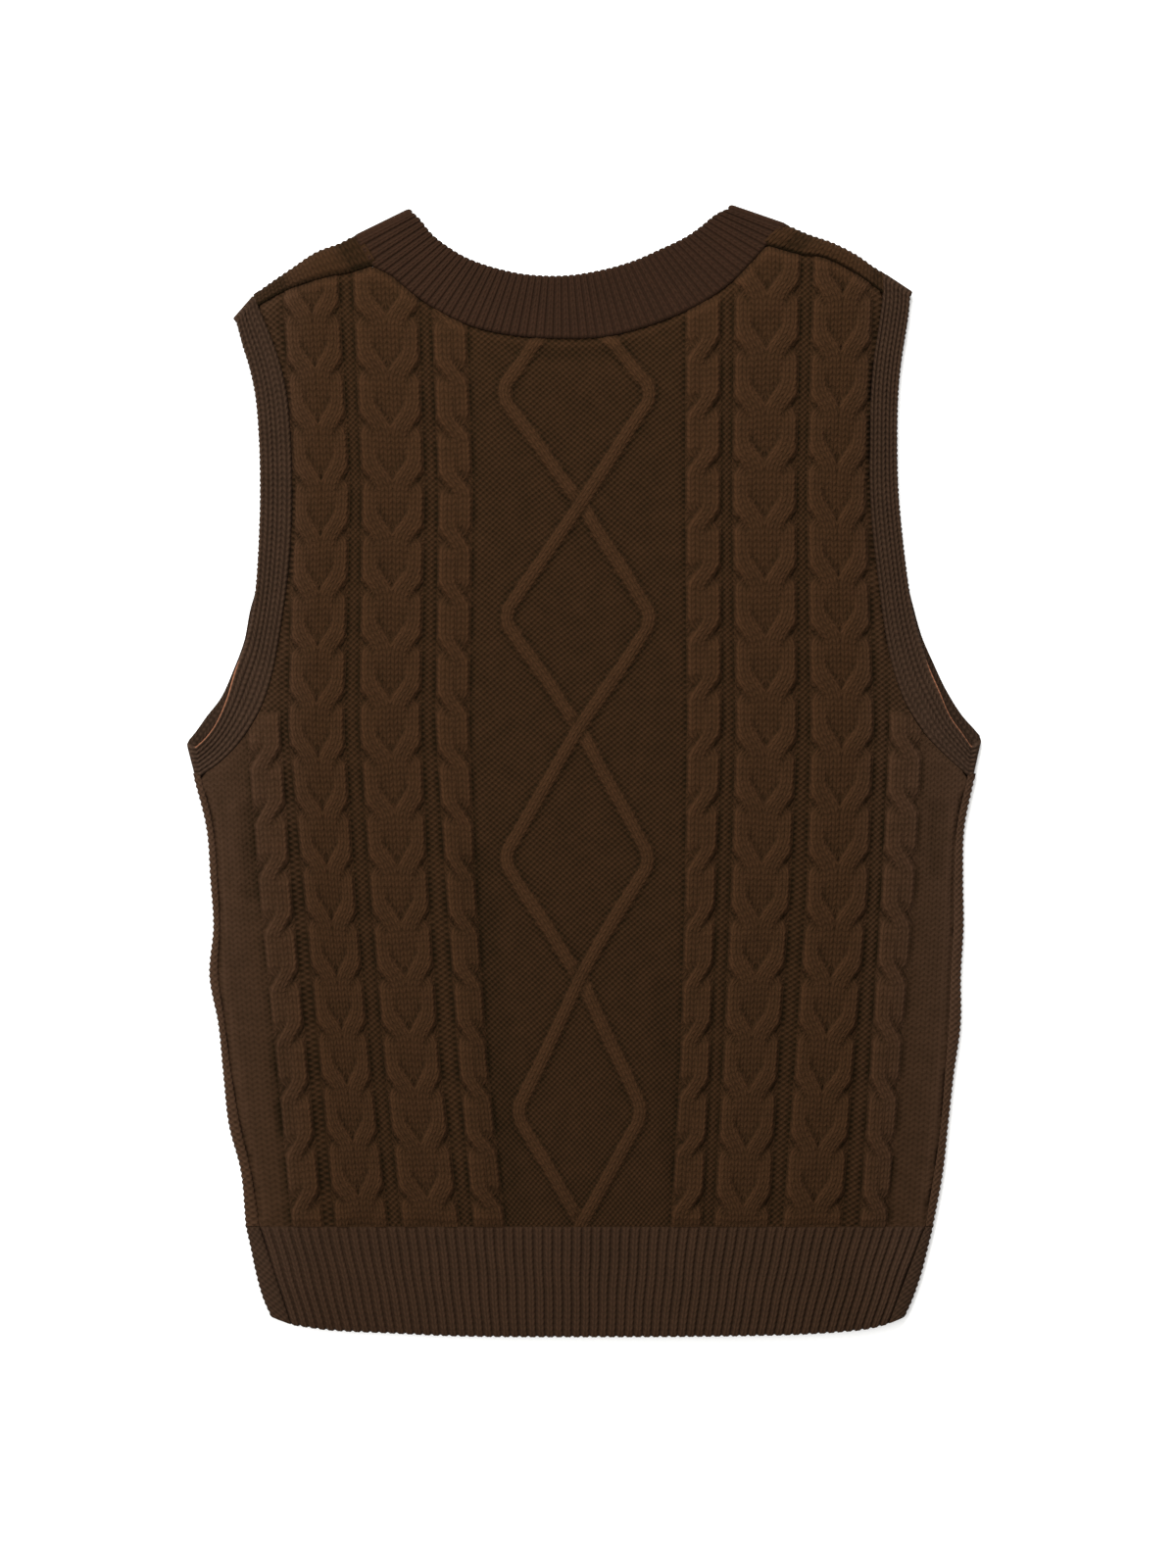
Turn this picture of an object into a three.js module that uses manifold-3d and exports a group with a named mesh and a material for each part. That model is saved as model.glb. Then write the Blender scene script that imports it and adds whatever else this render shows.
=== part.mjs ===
// A knitted sweater vest laid flat on its front, so that its back shows.
// Millimetres, +Z up, +Y from the hem to the neck. The origin is on the table, under the middle
// of the vest's outline. In the tables, x is measured across from the middle and up from the
// hem's lowest edge, and left is the viewer's left.
import * as THREE from 'three';
import { mergeVertices } from 'three/addons/utils/BufferGeometryUtils.js';
import Module from 'manifold-3d';

const wasm = await Module();
wasm.setup();

// Driving sizes
const LENGTH = 624; // hem edge to neck points
const SEAM_GAP = 0.3; // between two pieces at a seam
const CLOTH = 3; // wall of the front, of the bands and of the hems
const FRONT_TOP = CLOTH; // inner face of the front layer
const BACK_BOTTOM = FRONT_TOP + SEAM_GAP; // inner face of the back layer
const GROUND = 2.4; // wall of the back between its cables
const CABLE_RISE = 2.5; // cables above the ground
const CORD_RISE = 1.7; // travelling cords of the diamonds above the ground
const CORD_WIDTH = 7.5;
const CORD_TURN = 5; // rounding of a cord's turns
const LOFT = 1.2; // how far the back billows up from its seams
const LOFT_REACH = 28; // distance from a seam to its full loft
const FOLD_TOP = 5.8; // height of the front's cloth where it wraps round a fold
const HEM_TOP = 60.5; // seam between the hem rib and the panels
const RIB_DEPTH = 0.9; // groove between two ribs
const HEM_RIBS = 68;
const NECK_RIBS = 56;
const ARM_STATIONS = 22; // sections along one half of an armband
const ARM_RIBS = 4; // ribs that run along an armband
const FRONT_STATIONS = 7; // sections along each leg of the front's V
const V_EDGE = { x: -3, up: 430 }; // lowest point of the V, on the band's free edge
const V_SEAM = { x: -3, up: 359 }; // and on its seam

const yarn = (name, color) => new THREE.MeshStandardMaterial({ name, color, roughness: 0.95, metalness: 0 });
const CABLE_KNIT = yarn('cable_knit', 0x3c281b);
const RIB_KNIT = yarn('rib_knit', 0x37261b);

// Side folds and the side seams just inside them, which lie on the back
const SIDES = [
  { up: HEM_TOP + SEAM_GAP, foldLeft: -187.0, seamLeft: -179.2, seamRight: 187.7, foldRight: 192.4 },
  { up: 91, foldLeft: -189.8, seamLeft: -184.0, seamRight: 192.9, foldRight: 197.9 },
  { up: 116, foldLeft: -196.3, seamLeft: -189.8, seamRight: 196.3, foldRight: 200.6 },
  { up: 145, foldLeft: -199.5, seamLeft: -194.7, seamRight: 198.7, foldRight: 203.9 },
  { up: 172, foldLeft: -202.2, seamLeft: -198.2, seamRight: 200.7, foldRight: 207.6 },
  { up: 199, foldLeft: -207.1, seamLeft: -201.9, seamRight: 201.8, foldRight: 207.7 },
  { up: 226, foldLeft: -204.9, seamLeft: -201.2, seamRight: 203.3, foldRight: 209.2 },
  { up: 252, foldLeft: -206.6, seamLeft: -202.3, seamRight: 203.6, foldRight: 208.9 },
  { up: 280, foldLeft: -208.7, seamLeft: -204.7, seamRight: 205.2, foldRight: 209.6 },
  { up: 307.3, foldLeft: -215.4, seamLeft: -211.2, seamRight: 210.8, foldRight: 215.1 },
];

// The folds at the hem rib, down to its corners, and the ends of its side seams
const HEM_FOLDS = [
  { up: HEM_TOP, foldLeft: -187.0, foldRight: 192.4 },
  { up: 48, foldLeft: -184.2, foldRight: 189.4 },
  { up: 34.6, foldLeft: -181.4, foldRight: 186.0 },
  { up: 21, foldLeft: -177.6, foldRight: 181.4 },
  { up: 10.6, foldLeft: -173.1, foldRight: 176.8 },
];
const HEM_SEAMS = {
  left: { x: -179.1, up: HEM_TOP, toX: -161.9, toUp: 6.6 },
  right: { x: 187.7, up: HEM_TOP, toX: 167.6, toUp: 7.0 },
};

// Free edge of the back's hem
const HEM_EDGE = [
  { x: -161.6, up: 6.6 },
  { x: -141.8, up: 3.8 },
  { x: -106, up: 2.0 },
  { x: -68, up: 0.4 },
  { x: 2, up: 0 },
  { x: 77, up: 0.4 },
  { x: 124, up: 1.6 },
  { x: 156, up: 4.3 },
  { x: 167.3, up: 7.0 },
];

// Left armband from the shoulder fold to the underarm fold: its free edge and its seam on the
// back, and the free edge of its front half, which is cut deeper
const LEFT_ARM = [
  { edgeX: -191.9, edgeUp: 559.0, seamX: -180.7, seamUp: 571.9, frontX: -191.9, frontUp: 559.0 },
  { edgeX: -190.6, edgeUp: 553.6, seamX: -179.6, seamUp: 567.2, frontX: -190.6, frontUp: 553.6 },
  { edgeX: -188.6, edgeUp: 546.0, seamX: -174.0, seamUp: 553.6, frontX: -188.2, frontUp: 546.0 },
  { edgeX: -185.2, edgeUp: 535.2, seamX: -168.0, seamUp: 536.8, frontX: -184.2, frontUp: 535.2 },
  { edgeX: -181.7, edgeUp: 518.9, seamX: -163.9, seamUp: 517.8, frontX: -180.6, frontUp: 518.9 },
  { edgeX: -179.6, edgeUp: 493.6, seamX: -161.8, seamUp: 492.4, frontX: -178.4, frontUp: 493.6 },
  { edgeX: -179.0, edgeUp: 466.6, seamX: -161.2, seamUp: 466.6, frontX: -177.8, frontUp: 466.6 },
  { edgeX: -179.6, edgeUp: 442.3, seamX: -161.8, seamUp: 440.2, frontX: -178.6, frontUp: 442.3 },
  { edgeX: -181.2, edgeUp: 415.3, seamX: -164.2, seamUp: 412.8, frontX: -180.8, frontUp: 415.3 },
  { edgeX: -183.3, edgeUp: 399.1, seamX: -166.6, seamUp: 395.6, frontX: -184.9, frontUp: 399.6 },
  { edgeX: -187.7, edgeUp: 382.9, seamX: -169.2, seamUp: 379.4, frontX: -189.4, frontUp: 383.6 },
  { edgeX: -192.0, edgeUp: 366.7, seamX: -172.6, seamUp: 362.6, frontX: -194.4, frontUp: 367.2 },
  { edgeX: -197.2, edgeUp: 350.4, seamX: -179.0, seamUp: 344.6, frontX: -199.6, frontUp: 353.0 },
  { edgeX: -204.9, edgeUp: 337.4, seamX: -189.6, seamUp: 327.9, frontX: -207.0, frontUp: 342.2 },
  { edgeX: -211.4, edgeUp: 329.9, seamX: -200.6, seamUp: 316.6, frontX: -212.6, frontUp: 334.0 },
  { edgeX: -216.3, edgeUp: 326.0, seamX: -211.8, seamUp: 308.7, frontX: -216.3, frontUp: 326.0 },
];

const RIGHT_ARM = [
  { edgeX: 179.6, edgeUp: 573.2, seamX: 164.2, seamUp: 583.4, frontX: 179.6, frontUp: 573.2 },
  { edgeX: 178.9, edgeUp: 564.6, seamX: 164.4, seamUp: 573.8, frontX: 178.9, frontUp: 564.6 },
  { edgeX: 177.2, edgeUp: 553.2, seamX: 162.4, seamUp: 557.8, frontX: 176.8, frontUp: 553.2 },
  { edgeX: 174.8, edgeUp: 538.0, seamX: 159.8, seamUp: 540.6, frontX: 173.8, frontUp: 538.0 },
  { edgeX: 173.1, edgeUp: 520.6, seamX: 158.0, seamUp: 520.6, frontX: 172.1, frontUp: 520.6 },
  { edgeX: 172.5, edgeUp: 493.6, seamX: 157.4, seamUp: 493.6, frontX: 171.4, frontUp: 493.6 },
  { edgeX: 173.1, edgeUp: 466.6, seamX: 157.4, seamUp: 466.6, frontX: 172.0, frontUp: 466.6 },
  { edgeX: 175.2, edgeUp: 442.3, seamX: 159.2, seamUp: 440.0, frontX: 174.2, frontUp: 442.3 },
  { edgeX: 178.5, edgeUp: 415.3, seamX: 162.6, seamUp: 412.2, frontX: 178.4, frontUp: 415.3 },
  { edgeX: 180.9, edgeUp: 401.0, seamX: 164.6, seamUp: 396.4, frontX: 181.8, frontUp: 401.4 },
  { edgeX: 184.6, edgeUp: 385.6, seamX: 167.0, seamUp: 381.4, frontX: 186.2, frontUp: 386.0 },
  { edgeX: 189.3, edgeUp: 370.4, seamX: 170.8, seamUp: 365.4, frontX: 191.4, frontUp: 371.6 },
  { edgeX: 195.2, edgeUp: 355.3, seamX: 176.6, seamUp: 349.4, frontX: 197.4, frontUp: 358.0 },
  { edgeX: 202.8, edgeUp: 341.6, seamX: 186.0, seamUp: 333.8, frontX: 205.0, frontUp: 345.2 },
  { edgeX: 209.3, edgeUp: 333.4, seamX: 198.0, seamUp: 320.8, frontX: 211.0, frontUp: 337.0 },
  { edgeX: 216.2, edgeUp: 328.2, seamX: 211.4, seamUp: 308.9, frontX: 216.2, frontUp: 328.2 },
];

// Neckband from the left shoulder fold round the back to the right one
const NECK = [
  { edgeX: -95.1, edgeUp: 619.4, seamX: -125.9, seamUp: 604.3 },
  { edgeX: -91.6, edgeUp: 616.2, seamX: -116.9, seamUp: 590.2 },
  { edgeX: -84.5, edgeUp: 607.5, seamX: -106.6, seamUp: 584.6 },
  { edgeX: -76.4, edgeUp: 601.0, seamX: -95.3, seamUp: 575.1 },
  { edgeX: -65.6, edgeUp: 594.5, seamX: -80.8, seamUp: 565.4 },
  { edgeX: -51.0, edgeUp: 589.1, seamX: -61.9, seamUp: 556.6 },
  { edgeX: -33.2, edgeUp: 585.2, seamX: -38.6, seamUp: 551.6 },
  { edgeX: -12.2, edgeUp: 584.3, seamX: -13.2, seamUp: 550.0 },
  { edgeX: 7.3, edgeUp: 587.0, seamX: 10.0, seamUp: 550.8 },
  { edgeX: 26.2, edgeUp: 592.2, seamX: 33.2, seamUp: 556.2 },
  { edgeX: 42.4, edgeUp: 599.2, seamX: 53.2, seamUp: 563.8 },
  { edgeX: 55.9, edgeUp: 605.7, seamX: 69.4, seamUp: 572.4 },
  { edgeX: 64.6, edgeUp: 611.8, seamX: 81.8, seamUp: 581.6 },
  { edgeX: 71.6, edgeUp: 617.6, seamX: 92.6, seamUp: 592.6 },
  { edgeX: 75.4, edgeUp: 619.8, seamX: 100.7, seamUp: 601.6 },
  { edgeX: 79.2, edgeUp: 621.4, seamX: 110.5, seamUp: 610.6 },
];
const NECK_CORNER_ROWS = [1, NECK.length - 2]; // where the shoulder seams meet the neckband

// Shoulder folds at the outline, and the shoulder seams, which lie on the back
const LEFT_SHOULDER = [
  { foldX: -180.2, foldUp: 576.2, seamX: -178.9, seamUp: 568.6 },
  { foldX: -174.2, foldUp: 580.5, seamX: -168.2, seamUp: 574.6 },
  { foldX: -161.2, foldUp: 589.4, seamX: -155.0, seamUp: 580.0 },
  { foldX: -148.2, foldUp: 598.0, seamX: -142.0, seamUp: 583.8 },
  { foldX: -135.3, foldUp: 602.8, seamX: -129.0, seamUp: 586.2 },
  { foldX: -128.4, foldUp: 606.4, seamX: -117.6, seamUp: 589.6 },
];
const RIGHT_SHOULDER = [
  { foldX: 112.9, foldUp: 612.4, seamX: 101.3, seamUp: 601.0 },
  { foldX: 123.9, foldUp: 607.7, seamX: 118.0, seamUp: 596.4 },
  { foldX: 136.9, foldUp: 603.2, seamX: 131.5, seamUp: 594.6 },
  { foldX: 150.2, foldUp: 596.4, seamX: 146.0, seamUp: 588.0 },
  { foldX: 159.6, foldUp: 589.8, seamX: 156.0, seamUp: 581.4 },
  { foldX: 163.5, foldUp: 587.4, seamX: 163.5, seamUp: 575.8 },
];

// Cable columns of the back from left to right. strands is 4 for the wide cables, whose outer
// strands pass over the inner ones, and 2 for the ropes. over is the way in which a rope's upper
// strand runs as it goes down, and columns of one side cross at the same heights.
const CABLES = [
  { name: 'sideLeft', strands: 2, over: -1 },
  { name: 'outerLeft', strands: 4, over: 0 },
  { name: 'innerLeft', strands: 4, over: 0 },
  { name: 'ropeLeft', strands: 2, over: 1 },
  { name: 'ropeRight', strands: 2, over: -1 },
  { name: 'innerRight', strands: 4, over: 0 },
  { name: 'outerRight', strands: 4, over: 0 },
  { name: 'sideRight', strands: 2, over: 1 },
];

// Middle and half width of each column at a few heights: [middle, half width]
const COLUMNS = [
  {
    up: 600, sideLeft: [-180, 9.4], outerLeft: [-152, 15.4], innerLeft: [-110.5, 17.8], ropeLeft: [-76, 9.5],
    ropeRight: [65.3, 9.5], innerRight: [101, 18], outerRight: [143, 16.7], sideRight: [178, 9.4],
  },
  {
    up: 467, sideLeft: [-179, 9.4], outerLeft: [-144.6, 15.4], innerLeft: [-105.4, 17.2], ropeLeft: [-71, 9.5],
    ropeRight: [65.3, 9.8], innerRight: [99, 17.6], outerRight: [138.6, 16.2], sideRight: [177, 9.4],
  },
  {
    up: 337, sideLeft: [-177, 9.4], outerLeft: [-147.8, 15.4], innerLeft: [-107, 16.8], ropeLeft: [-72.8, 9.3],
    ropeRight: [66, 9.5], innerRight: [100.2, 16.8], outerRight: [142, 17.4], sideRight: [177.4, 9.4],
  },
  {
    up: 246, sideLeft: [-170.4, 9], outerLeft: [-140.6, 14], innerLeft: [-102, 15.8], ropeLeft: [-68, 8.2],
    ropeRight: [63.8, 8.5], innerRight: [97, 16.2], outerRight: [139.2, 16.9], sideRight: [172.6, 9.1],
  },
  {
    up: 151, sideLeft: [-161.2, 8.6], outerLeft: [-131.9, 13.7], innerLeft: [-94.9, 15.1], ropeLeft: [-61.4, 8],
    ropeRight: [60.9, 8.2], innerRight: [91.4, 15.1], outerRight: [132, 16], sideRight: [165.8, 8.4],
  },
  {
    up: 60, sideLeft: [-152.4, 8.8], outerLeft: [-122.6, 14.6], innerLeft: [-84.4, 15.8], ropeLeft: [-52.4, 8.8],
    ropeRight: [56, 8.6], innerRight: [86.4, 15.2], outerRight: [125.2, 16.2], sideRight: [159, 7.6],
  },
];
const CROSSING_LEFT = { first: 75.6, repeat: 30.35 }; // heights at which the cables cross
const CROSSING_RIGHT = { first: 74.5, repeat: 31.37 };
const CROSSING_BLEND = 60; // inside this distance from the middle the two run into each other
const CROSSING_SHARE = 0.7; // of a repeat in which the strands travel
const SIDE_CABLE = { top: 352, fade: 8 }; // the side ropes end under the armbands
// A strand's level as a share of the cable's rise, how far the upper one heaves up at a crossing
// and the lower one dips, and how far a strand spreads past its share of the width
const STRAND = { level: 0.8, heave: 0.2, dip: 0.45, spread: 1.15 };

// The two travelling cords that make the diamonds
const DIAMONDS = [
  { up: 566, left: -15.4, right: -1 },
  { up: 519.5, left: -46.6, right: 38.4 },
  { up: 459.5, left: -1.9, right: -1.9 },
  { up: 395.5, left: -45, right: 37.8 },
  { up: 334.8, left: -3, right: -3 },
  { up: 263.8, left: -45, right: 36.8 },
  { up: 197.6, left: -2.4, right: -2.4 },
  { up: 122.8, left: -38, right: 32.4 },
  { up: 58, left: 1.5, right: -4.3 },
];

// Soft troughs of the back, from one end to the other
const TROUGHS = [
  { x: -184, up: 300, toX: -181, toUp: 222, reach: 12, depth: 0.9 },
  { x: -168, up: 178, toX: -165, toUp: 96, reach: 12, depth: 0.8 },
  { x: -58, up: 262, toX: -41, toUp: 66, reach: 16, depth: 1.1 },
  { x: 196, up: 300, toX: 196, toUp: 246, reach: 10, depth: 0.8 },
  { x: 44, up: 190, toX: 52, toUp: 84, reach: 14, depth: 0.6 },
];

const toY = (up) => up - LENGTH / 2;
const smooth = (value) => THREE.MathUtils.smoothstep(value, 0, 1);
const flatPoint = (x, up) => new THREE.Vector2(x, toY(up));

/** Reads a table of rows with a height `up`, in either order, at any height between them. */
function readTable(table, up, read) {
  const rising = [...table].sort((a, b) => a.up - b.up);
  const above = Math.min(Math.max(rising.findIndex((row) => row.up > up), 1), rising.length - 1);
  const high = up > rising.at(-1).up ? rising.length - 1 : above;
  const [a, b] = [rising[high - 1], rising[high]];
  const share = THREE.MathUtils.clamp((up - a.up) / (b.up - a.up), 0, 1);
  return THREE.MathUtils.lerp(read(a), read(b), share);
}

const CURVE_DIVISIONS = 600;

/** Evenly spaced points, count of them, on a smooth curve through the given points. */
function along(points, count) {
  const curve = new THREE.CatmullRomCurve3(points.map((point) => new THREE.Vector3(point.x, point.y, 0)));
  curve.arcLengthDivisions = CURVE_DIVISIONS;
  return curve.getSpacedPoints(count - 1).map((point) => new THREE.Vector2(point.x, point.y));
}

/** Turns vertex and triangle lists into a geometry whose faces point out. */
function closedGeometry(points, triangles) {
  let volume = 0;
  for (let i = 0; i < triangles.length; i += 3) {
    const [a, b, c] = [0, 1, 2].map((k) => points[triangles[i + k]]);
    volume += a.dot(new THREE.Vector3().crossVectors(b, c));
  }
  const index = volume > 0 ? triangles : [...triangles].reverse();
  const geometry = new THREE.BufferGeometry().setFromPoints(points);
  geometry.setIndex(index);
  return geometry;
}

/** Faces of a ring that stands upright, in the ring's own order. */
function capFaces(ring) {
  const outline = ring.map((p) => new THREE.Vector2(Math.hypot(p.x - ring[0].x, p.y - ring[0].y), p.z));
  const turn = (corners) => Math.sign(THREE.ShapeUtils.area(corners));
  const faces = THREE.ShapeUtils.triangulateShape(outline, []);
  const turnsAlike = (face) => turn(face.map((i) => outline[i])) === turn(outline);
  return faces.map((face) => (turnsAlike(face) ? face : [...face].reverse()));
}

/** A closed body through rings of points, which joins up with itself when round is true. */
function throughRings(rings, round = false) {
  const size = rings[0].length;
  const triangles = [];
  for (let i = 0; i < (round ? rings.length : rings.length - 1); i++) {
    const start = i * size;
    const next = ((i + 1) % rings.length) * size;
    for (let j = 0; j < size; j++) {
      const k = (j + 1) % size;
      triangles.push(start + j, start + k, next + k, start + j, next + k, next + j);
    }
  }
  if (!round) {
    const last = (rings.length - 1) * size;
    for (const [a, b, c] of capFaces(rings[0])) triangles.push(c, b, a);
    for (const [a, b, c] of capFaces(rings.at(-1))) triangles.push(last + a, last + b, last + c);
  }
  return closedGeometry(rings.flat(), triangles);
}

/**
 * A block between a surface, given as rows of points, and a level plane below or above it.
 * A cell's crease rises to the right, or to the left where leftward says so for its column.
 */
function block(rows, level, leftward = () => false) {
  const wide = rows[0].length;
  const high = rows.length;
  const points = rows.flat();
  const triangles = [];
  for (let i = 0; i < high - 1; i++) {
    for (let j = 0; j < wide - 1; j++) {
      const [a, b, c, d] = [i * wide + j, i * wide + j + 1, (i + 1) * wide + j + 1, (i + 1) * wide + j];
      triangles.push(...(leftward(j) ? [a, b, d, b, c, d] : [a, b, c, a, c, d]));
    }
  }
  const rim = [];
  for (let j = 0; j < wide - 1; j++) rim.push(j);
  for (let i = 0; i < high - 1; i++) rim.push(i * wide + wide - 1);
  for (let j = wide - 1; j > 0; j--) rim.push((high - 1) * wide + j);
  for (let i = high - 1; i > 0; i--) rim.push(i * wide);
  const foot = points.length;
  for (const id of rim) points.push(new THREE.Vector3(points[id].x, points[id].y, level));
  const hub = points.length;
  points.push(new THREE.Vector3(0, 0, level));
  rim.forEach((id, n) => {
    const m = (n + 1) % rim.length;
    triangles.push(id, foot + n, foot + m, id, foot + m, rim[m], foot + n, hub, foot + m);
  });
  return closedGeometry(points, triangles);
}

const MERGE_DISTANCE = 1e-5;

/** The solid of a closed geometry, for joining and cutting. */
function solidOf(geometry) {
  geometry.deleteAttribute('normal');
  geometry.deleteAttribute('uv');
  const merged = mergeVertices(geometry, MERGE_DISTANCE);
  const vertProperties = new Float32Array(merged.attributes.position.array);
  const triVerts = new Uint32Array(merged.index.array);
  return new wasm.Manifold(new wasm.Mesh({ numProp: 3, vertProperties, triVerts }));
}

/** The geometry of a solid. */
function geometryOf(solid) {
  const mesh = solid.getMesh();
  const geometry = new THREE.BufferGeometry();
  geometry.setAttribute('position', new THREE.BufferAttribute(new Float32Array(mesh.vertProperties), 3));
  geometry.setIndex(new THREE.BufferAttribute(new Uint32Array(mesh.triVerts), 1));
  return geometry;
}

/** A plate of the given outline between two heights. */
function plate(outline, bottom, top) {
  const options = { depth: top - bottom, bevelEnabled: false };
  return new THREE.ExtrudeGeometry(new THREE.Shape(outline), options).translate(0, 0, bottom);
}

const SHARPEST = 0.5; // at a sharper corner than this the gap is not made any longer

/** Moves each corner of an outline inwards by the seam gap, square to its two sides. */
function inset(outline) {
  const turn = Math.sign(THREE.ShapeUtils.area(outline));
  return outline.map((corner, i) => {
    const before = outline.at(i - 1);
    const after = outline[(i + 1) % outline.length];
    const [into, out] = [corner.clone().sub(before).normalize(), after.clone().sub(corner).normalize()];
    const normal = new THREE.Vector2(-into.y - out.y, into.x + out.x).normalize().multiplyScalar(turn);
    const slant = Math.max(normal.dot(new THREE.Vector2(-into.y, into.x).multiplyScalar(turn)), SHARPEST);
    return corner.clone().addScaledVector(normal, SEAM_GAP / slant);
  });
}

/** Shortest distance from a point to an outline. */
function distanceTo(outline, x, y) {
  let nearest = Infinity;
  outline.forEach((a, i) => {
    const b = outline[(i + 1) % outline.length];
    const [dx, dy] = [b.x - a.x, b.y - a.y];
    const share = THREE.MathUtils.clamp(((x - a.x) * dx + (y - a.y) * dy) / (dx * dx + dy * dy), 0, 1);
    nearest = Math.min(nearest, Math.hypot(x - a.x - share * dx, y - a.y - share * dy));
  });
  return nearest;
}

// Bands: a rung is one station of a band, from its free edge to its seam. fold is 0 on the back,
// PI on the front and between them where the band turns over, and out points away from the fold.
const BAND_MIDDLE = (FRONT_TOP + BACK_BOTTOM) / 2;
const INNER_RADIUS = SEAM_GAP / 2;
const FOLD_STEPS = 4;

/** The point of a rung at a share of its width and at a depth from the band's inner face. */
function rungPoint(rung, share, depth) {
  const radius = INNER_RADIUS + depth;
  const flat = rung.edge.clone().lerp(rung.seam, share);
  flat.addScaledVector(rung.out, radius * Math.sin(rung.fold));
  return new THREE.Vector3(flat.x, flat.y, BAND_MIDDLE + radius * Math.cos(rung.fold));
}

/** Rungs in one layer, count of them, evenly along a band's edge and seam. */
function layerRungs(edges, seams, count, fold) {
  const [edge, seam] = [along(edges, count), along(seams, count)];
  return edge.map((point, i) => ({ edge: point, seam: seam[i], fold, out: new THREE.Vector2() }));
}

/** Rungs that turn a band over at its last rung, away from the middle of the vest. */
function turnRungs(rung, before) {
  const line = rung.seam.clone().sub(rung.edge).normalize();
  const out = new THREE.Vector2(-line.y, line.x);
  if (out.dot(rung.edge.clone().sub(before.edge)) < 0) out.negate();
  const steps = Array.from({ length: FOLD_STEPS - 1 }, (_, i) => (i + 1) / FOLD_STEPS);
  const start = rung.fold;
  return steps.map((share) => ({ ...rung, out, fold: start + (Math.PI - 2 * start) * share }));
}

const pointsOf = (table, x, up) => table.map((row) => flatPoint(row[x], row[up]));

// Armbands
function armRungs(table) {
  const edges = pointsOf(table, 'edgeX', 'edgeUp');
  const seams = pointsOf(table, 'seamX', 'seamUp');
  const frontEdges = pointsOf(table, 'frontX', 'frontUp');
  const frontSeams = seams.map((seam, i) => seam.clone().add(frontEdges[i]).sub(edges[i]));
  const back = layerRungs(edges, seams, ARM_STATIONS, 0);
  const front = layerRungs(frontEdges, frontSeams, ARM_STATIONS, Math.PI).reverse();
  const underarm = turnRungs(back.at(-1), back.at(-2));
  const shoulder = turnRungs(front.at(-1), front.at(-2));
  return { back, front, all: [...back, ...underarm, ...front, ...shoulder] };
}

/** The ring of an armband: ribs along its outer side, plain inside and where it rests. */
function armband({ all }) {
  const steps = 2 * ARM_RIBS;
  const rings = all.map((rung) => {
    const depth = smooth(1 - (2 * rung.fold) / Math.PI) * RIB_DEPTH;
    const outer = Array.from({ length: steps + 1 }, (_, k) => {
      return rungPoint(rung, k / steps, CLOTH - (k % 2 ? 0 : depth));
    });
    return [rungPoint(rung, 1, 0), rungPoint(rung, 0, 0), ...outer];
  });
  return throughRings(rings, true);
}

// Neckband

/** Which of the neckband's rungs meet the two shoulder seams. */
function cornerRungs(back) {
  return NECK_CORNER_ROWS.map((row) => {
    const corner = flatPoint(NECK[row].seamX, NECK[row].seamUp);
    const gaps = back.map((rung) => rung.seam.distanceTo(corner));
    return gaps.indexOf(Math.min(...gaps));
  });
}

function neckRungs() {
  const edges = pointsOf(NECK, 'edgeX', 'edgeUp');
  const seams = pointsOf(NECK, 'seamX', 'seamUp');
  const back = layerRungs(edges, seams, 2 * NECK_RIBS + 1, 0);
  const vEdge = flatPoint(V_EDGE.x, V_EDGE.up);
  const vSeam = flatPoint(V_SEAM.x, V_SEAM.up);
  const onFront = (edge, seam) => ({ edge, seam, fold: Math.PI, out: new THREE.Vector2() });
  const corners = cornerRungs(back);
  const leg = (rung) => Array.from({ length: FRONT_STATIONS }, (_, i) => {
    const share = i / FRONT_STATIONS;
    return onFront(rung.edge.clone().lerp(vEdge, share), rung.seam.clone().lerp(vSeam, share));
  });
  const front = [
    onFront(back.at(-1).edge, back.at(-1).seam),
    ...leg(back[corners[1]]),
    onFront(vEdge, vSeam),
    ...leg(back[corners[0]]).reverse(),
    onFront(back[0].edge, back[0].seam),
  ];
  const rightTurn = turnRungs(back.at(-1), back.at(-2));
  const leftTurn = turnRungs(front.at(-1), front.at(-2));
  return { back, front, all: [...back, ...rightTurn, ...front, ...leftTurn] };
}

// Across a ribbed band: share of the way from its free edge to its seam, and share of its wall
const BAND_PROFILE = [[1, 0], [0, 0], [0, 0.72], [0.05, 1], [0.95, 1], [1, 0.85]];

/** The ring of the neckband: ribs across it on the back, plain inside and where it rests. */
function neckband({ back, all }) {
  const rings = all.map((rung, i) => {
    const groove = i < back.length && i % 2 === 0 ? RIB_DEPTH : 0;
    return BAND_PROFILE.map(([share, depth]) => rungPoint(rung, share, depth * (CLOTH - groove)));
  });
  return throughRings(rings, true);
}

// Rolled edges: the front's cloth comes round a fold and ends at a seam on the back. The profile
// goes round the roll: share of the way from the fold to the seam, and share of the height.
const ROLL = [[1, 0.5], [0.65, 0], [0.45, 0], [0.12, 0.14], [0, 0.45], [0.12, 0.8], [0.45, 0.97], [1, 1]];
const ROLL_OVERLAP = 0.5; // share of a roll's width that also belongs to the flat wall
const ROLL_INSET = 3; // from a fold to the flat wall at the hem seam

/** The rolled strip between a row of fold points and a row of seam points. */
function rolledEdge(folds, seams) {
  return throughRings(folds.map((fold, i) => ROLL.map(([share, height]) => {
    const flat = fold.clone().lerp(seams[i], share);
    return new THREE.Vector3(flat.x, flat.y, height * FOLD_TOP);
  })));
}

const midway = (folds, seams) => folds.map((fold, i) => fold.clone().lerp(seams[i], ROLL_OVERLAP));

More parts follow.
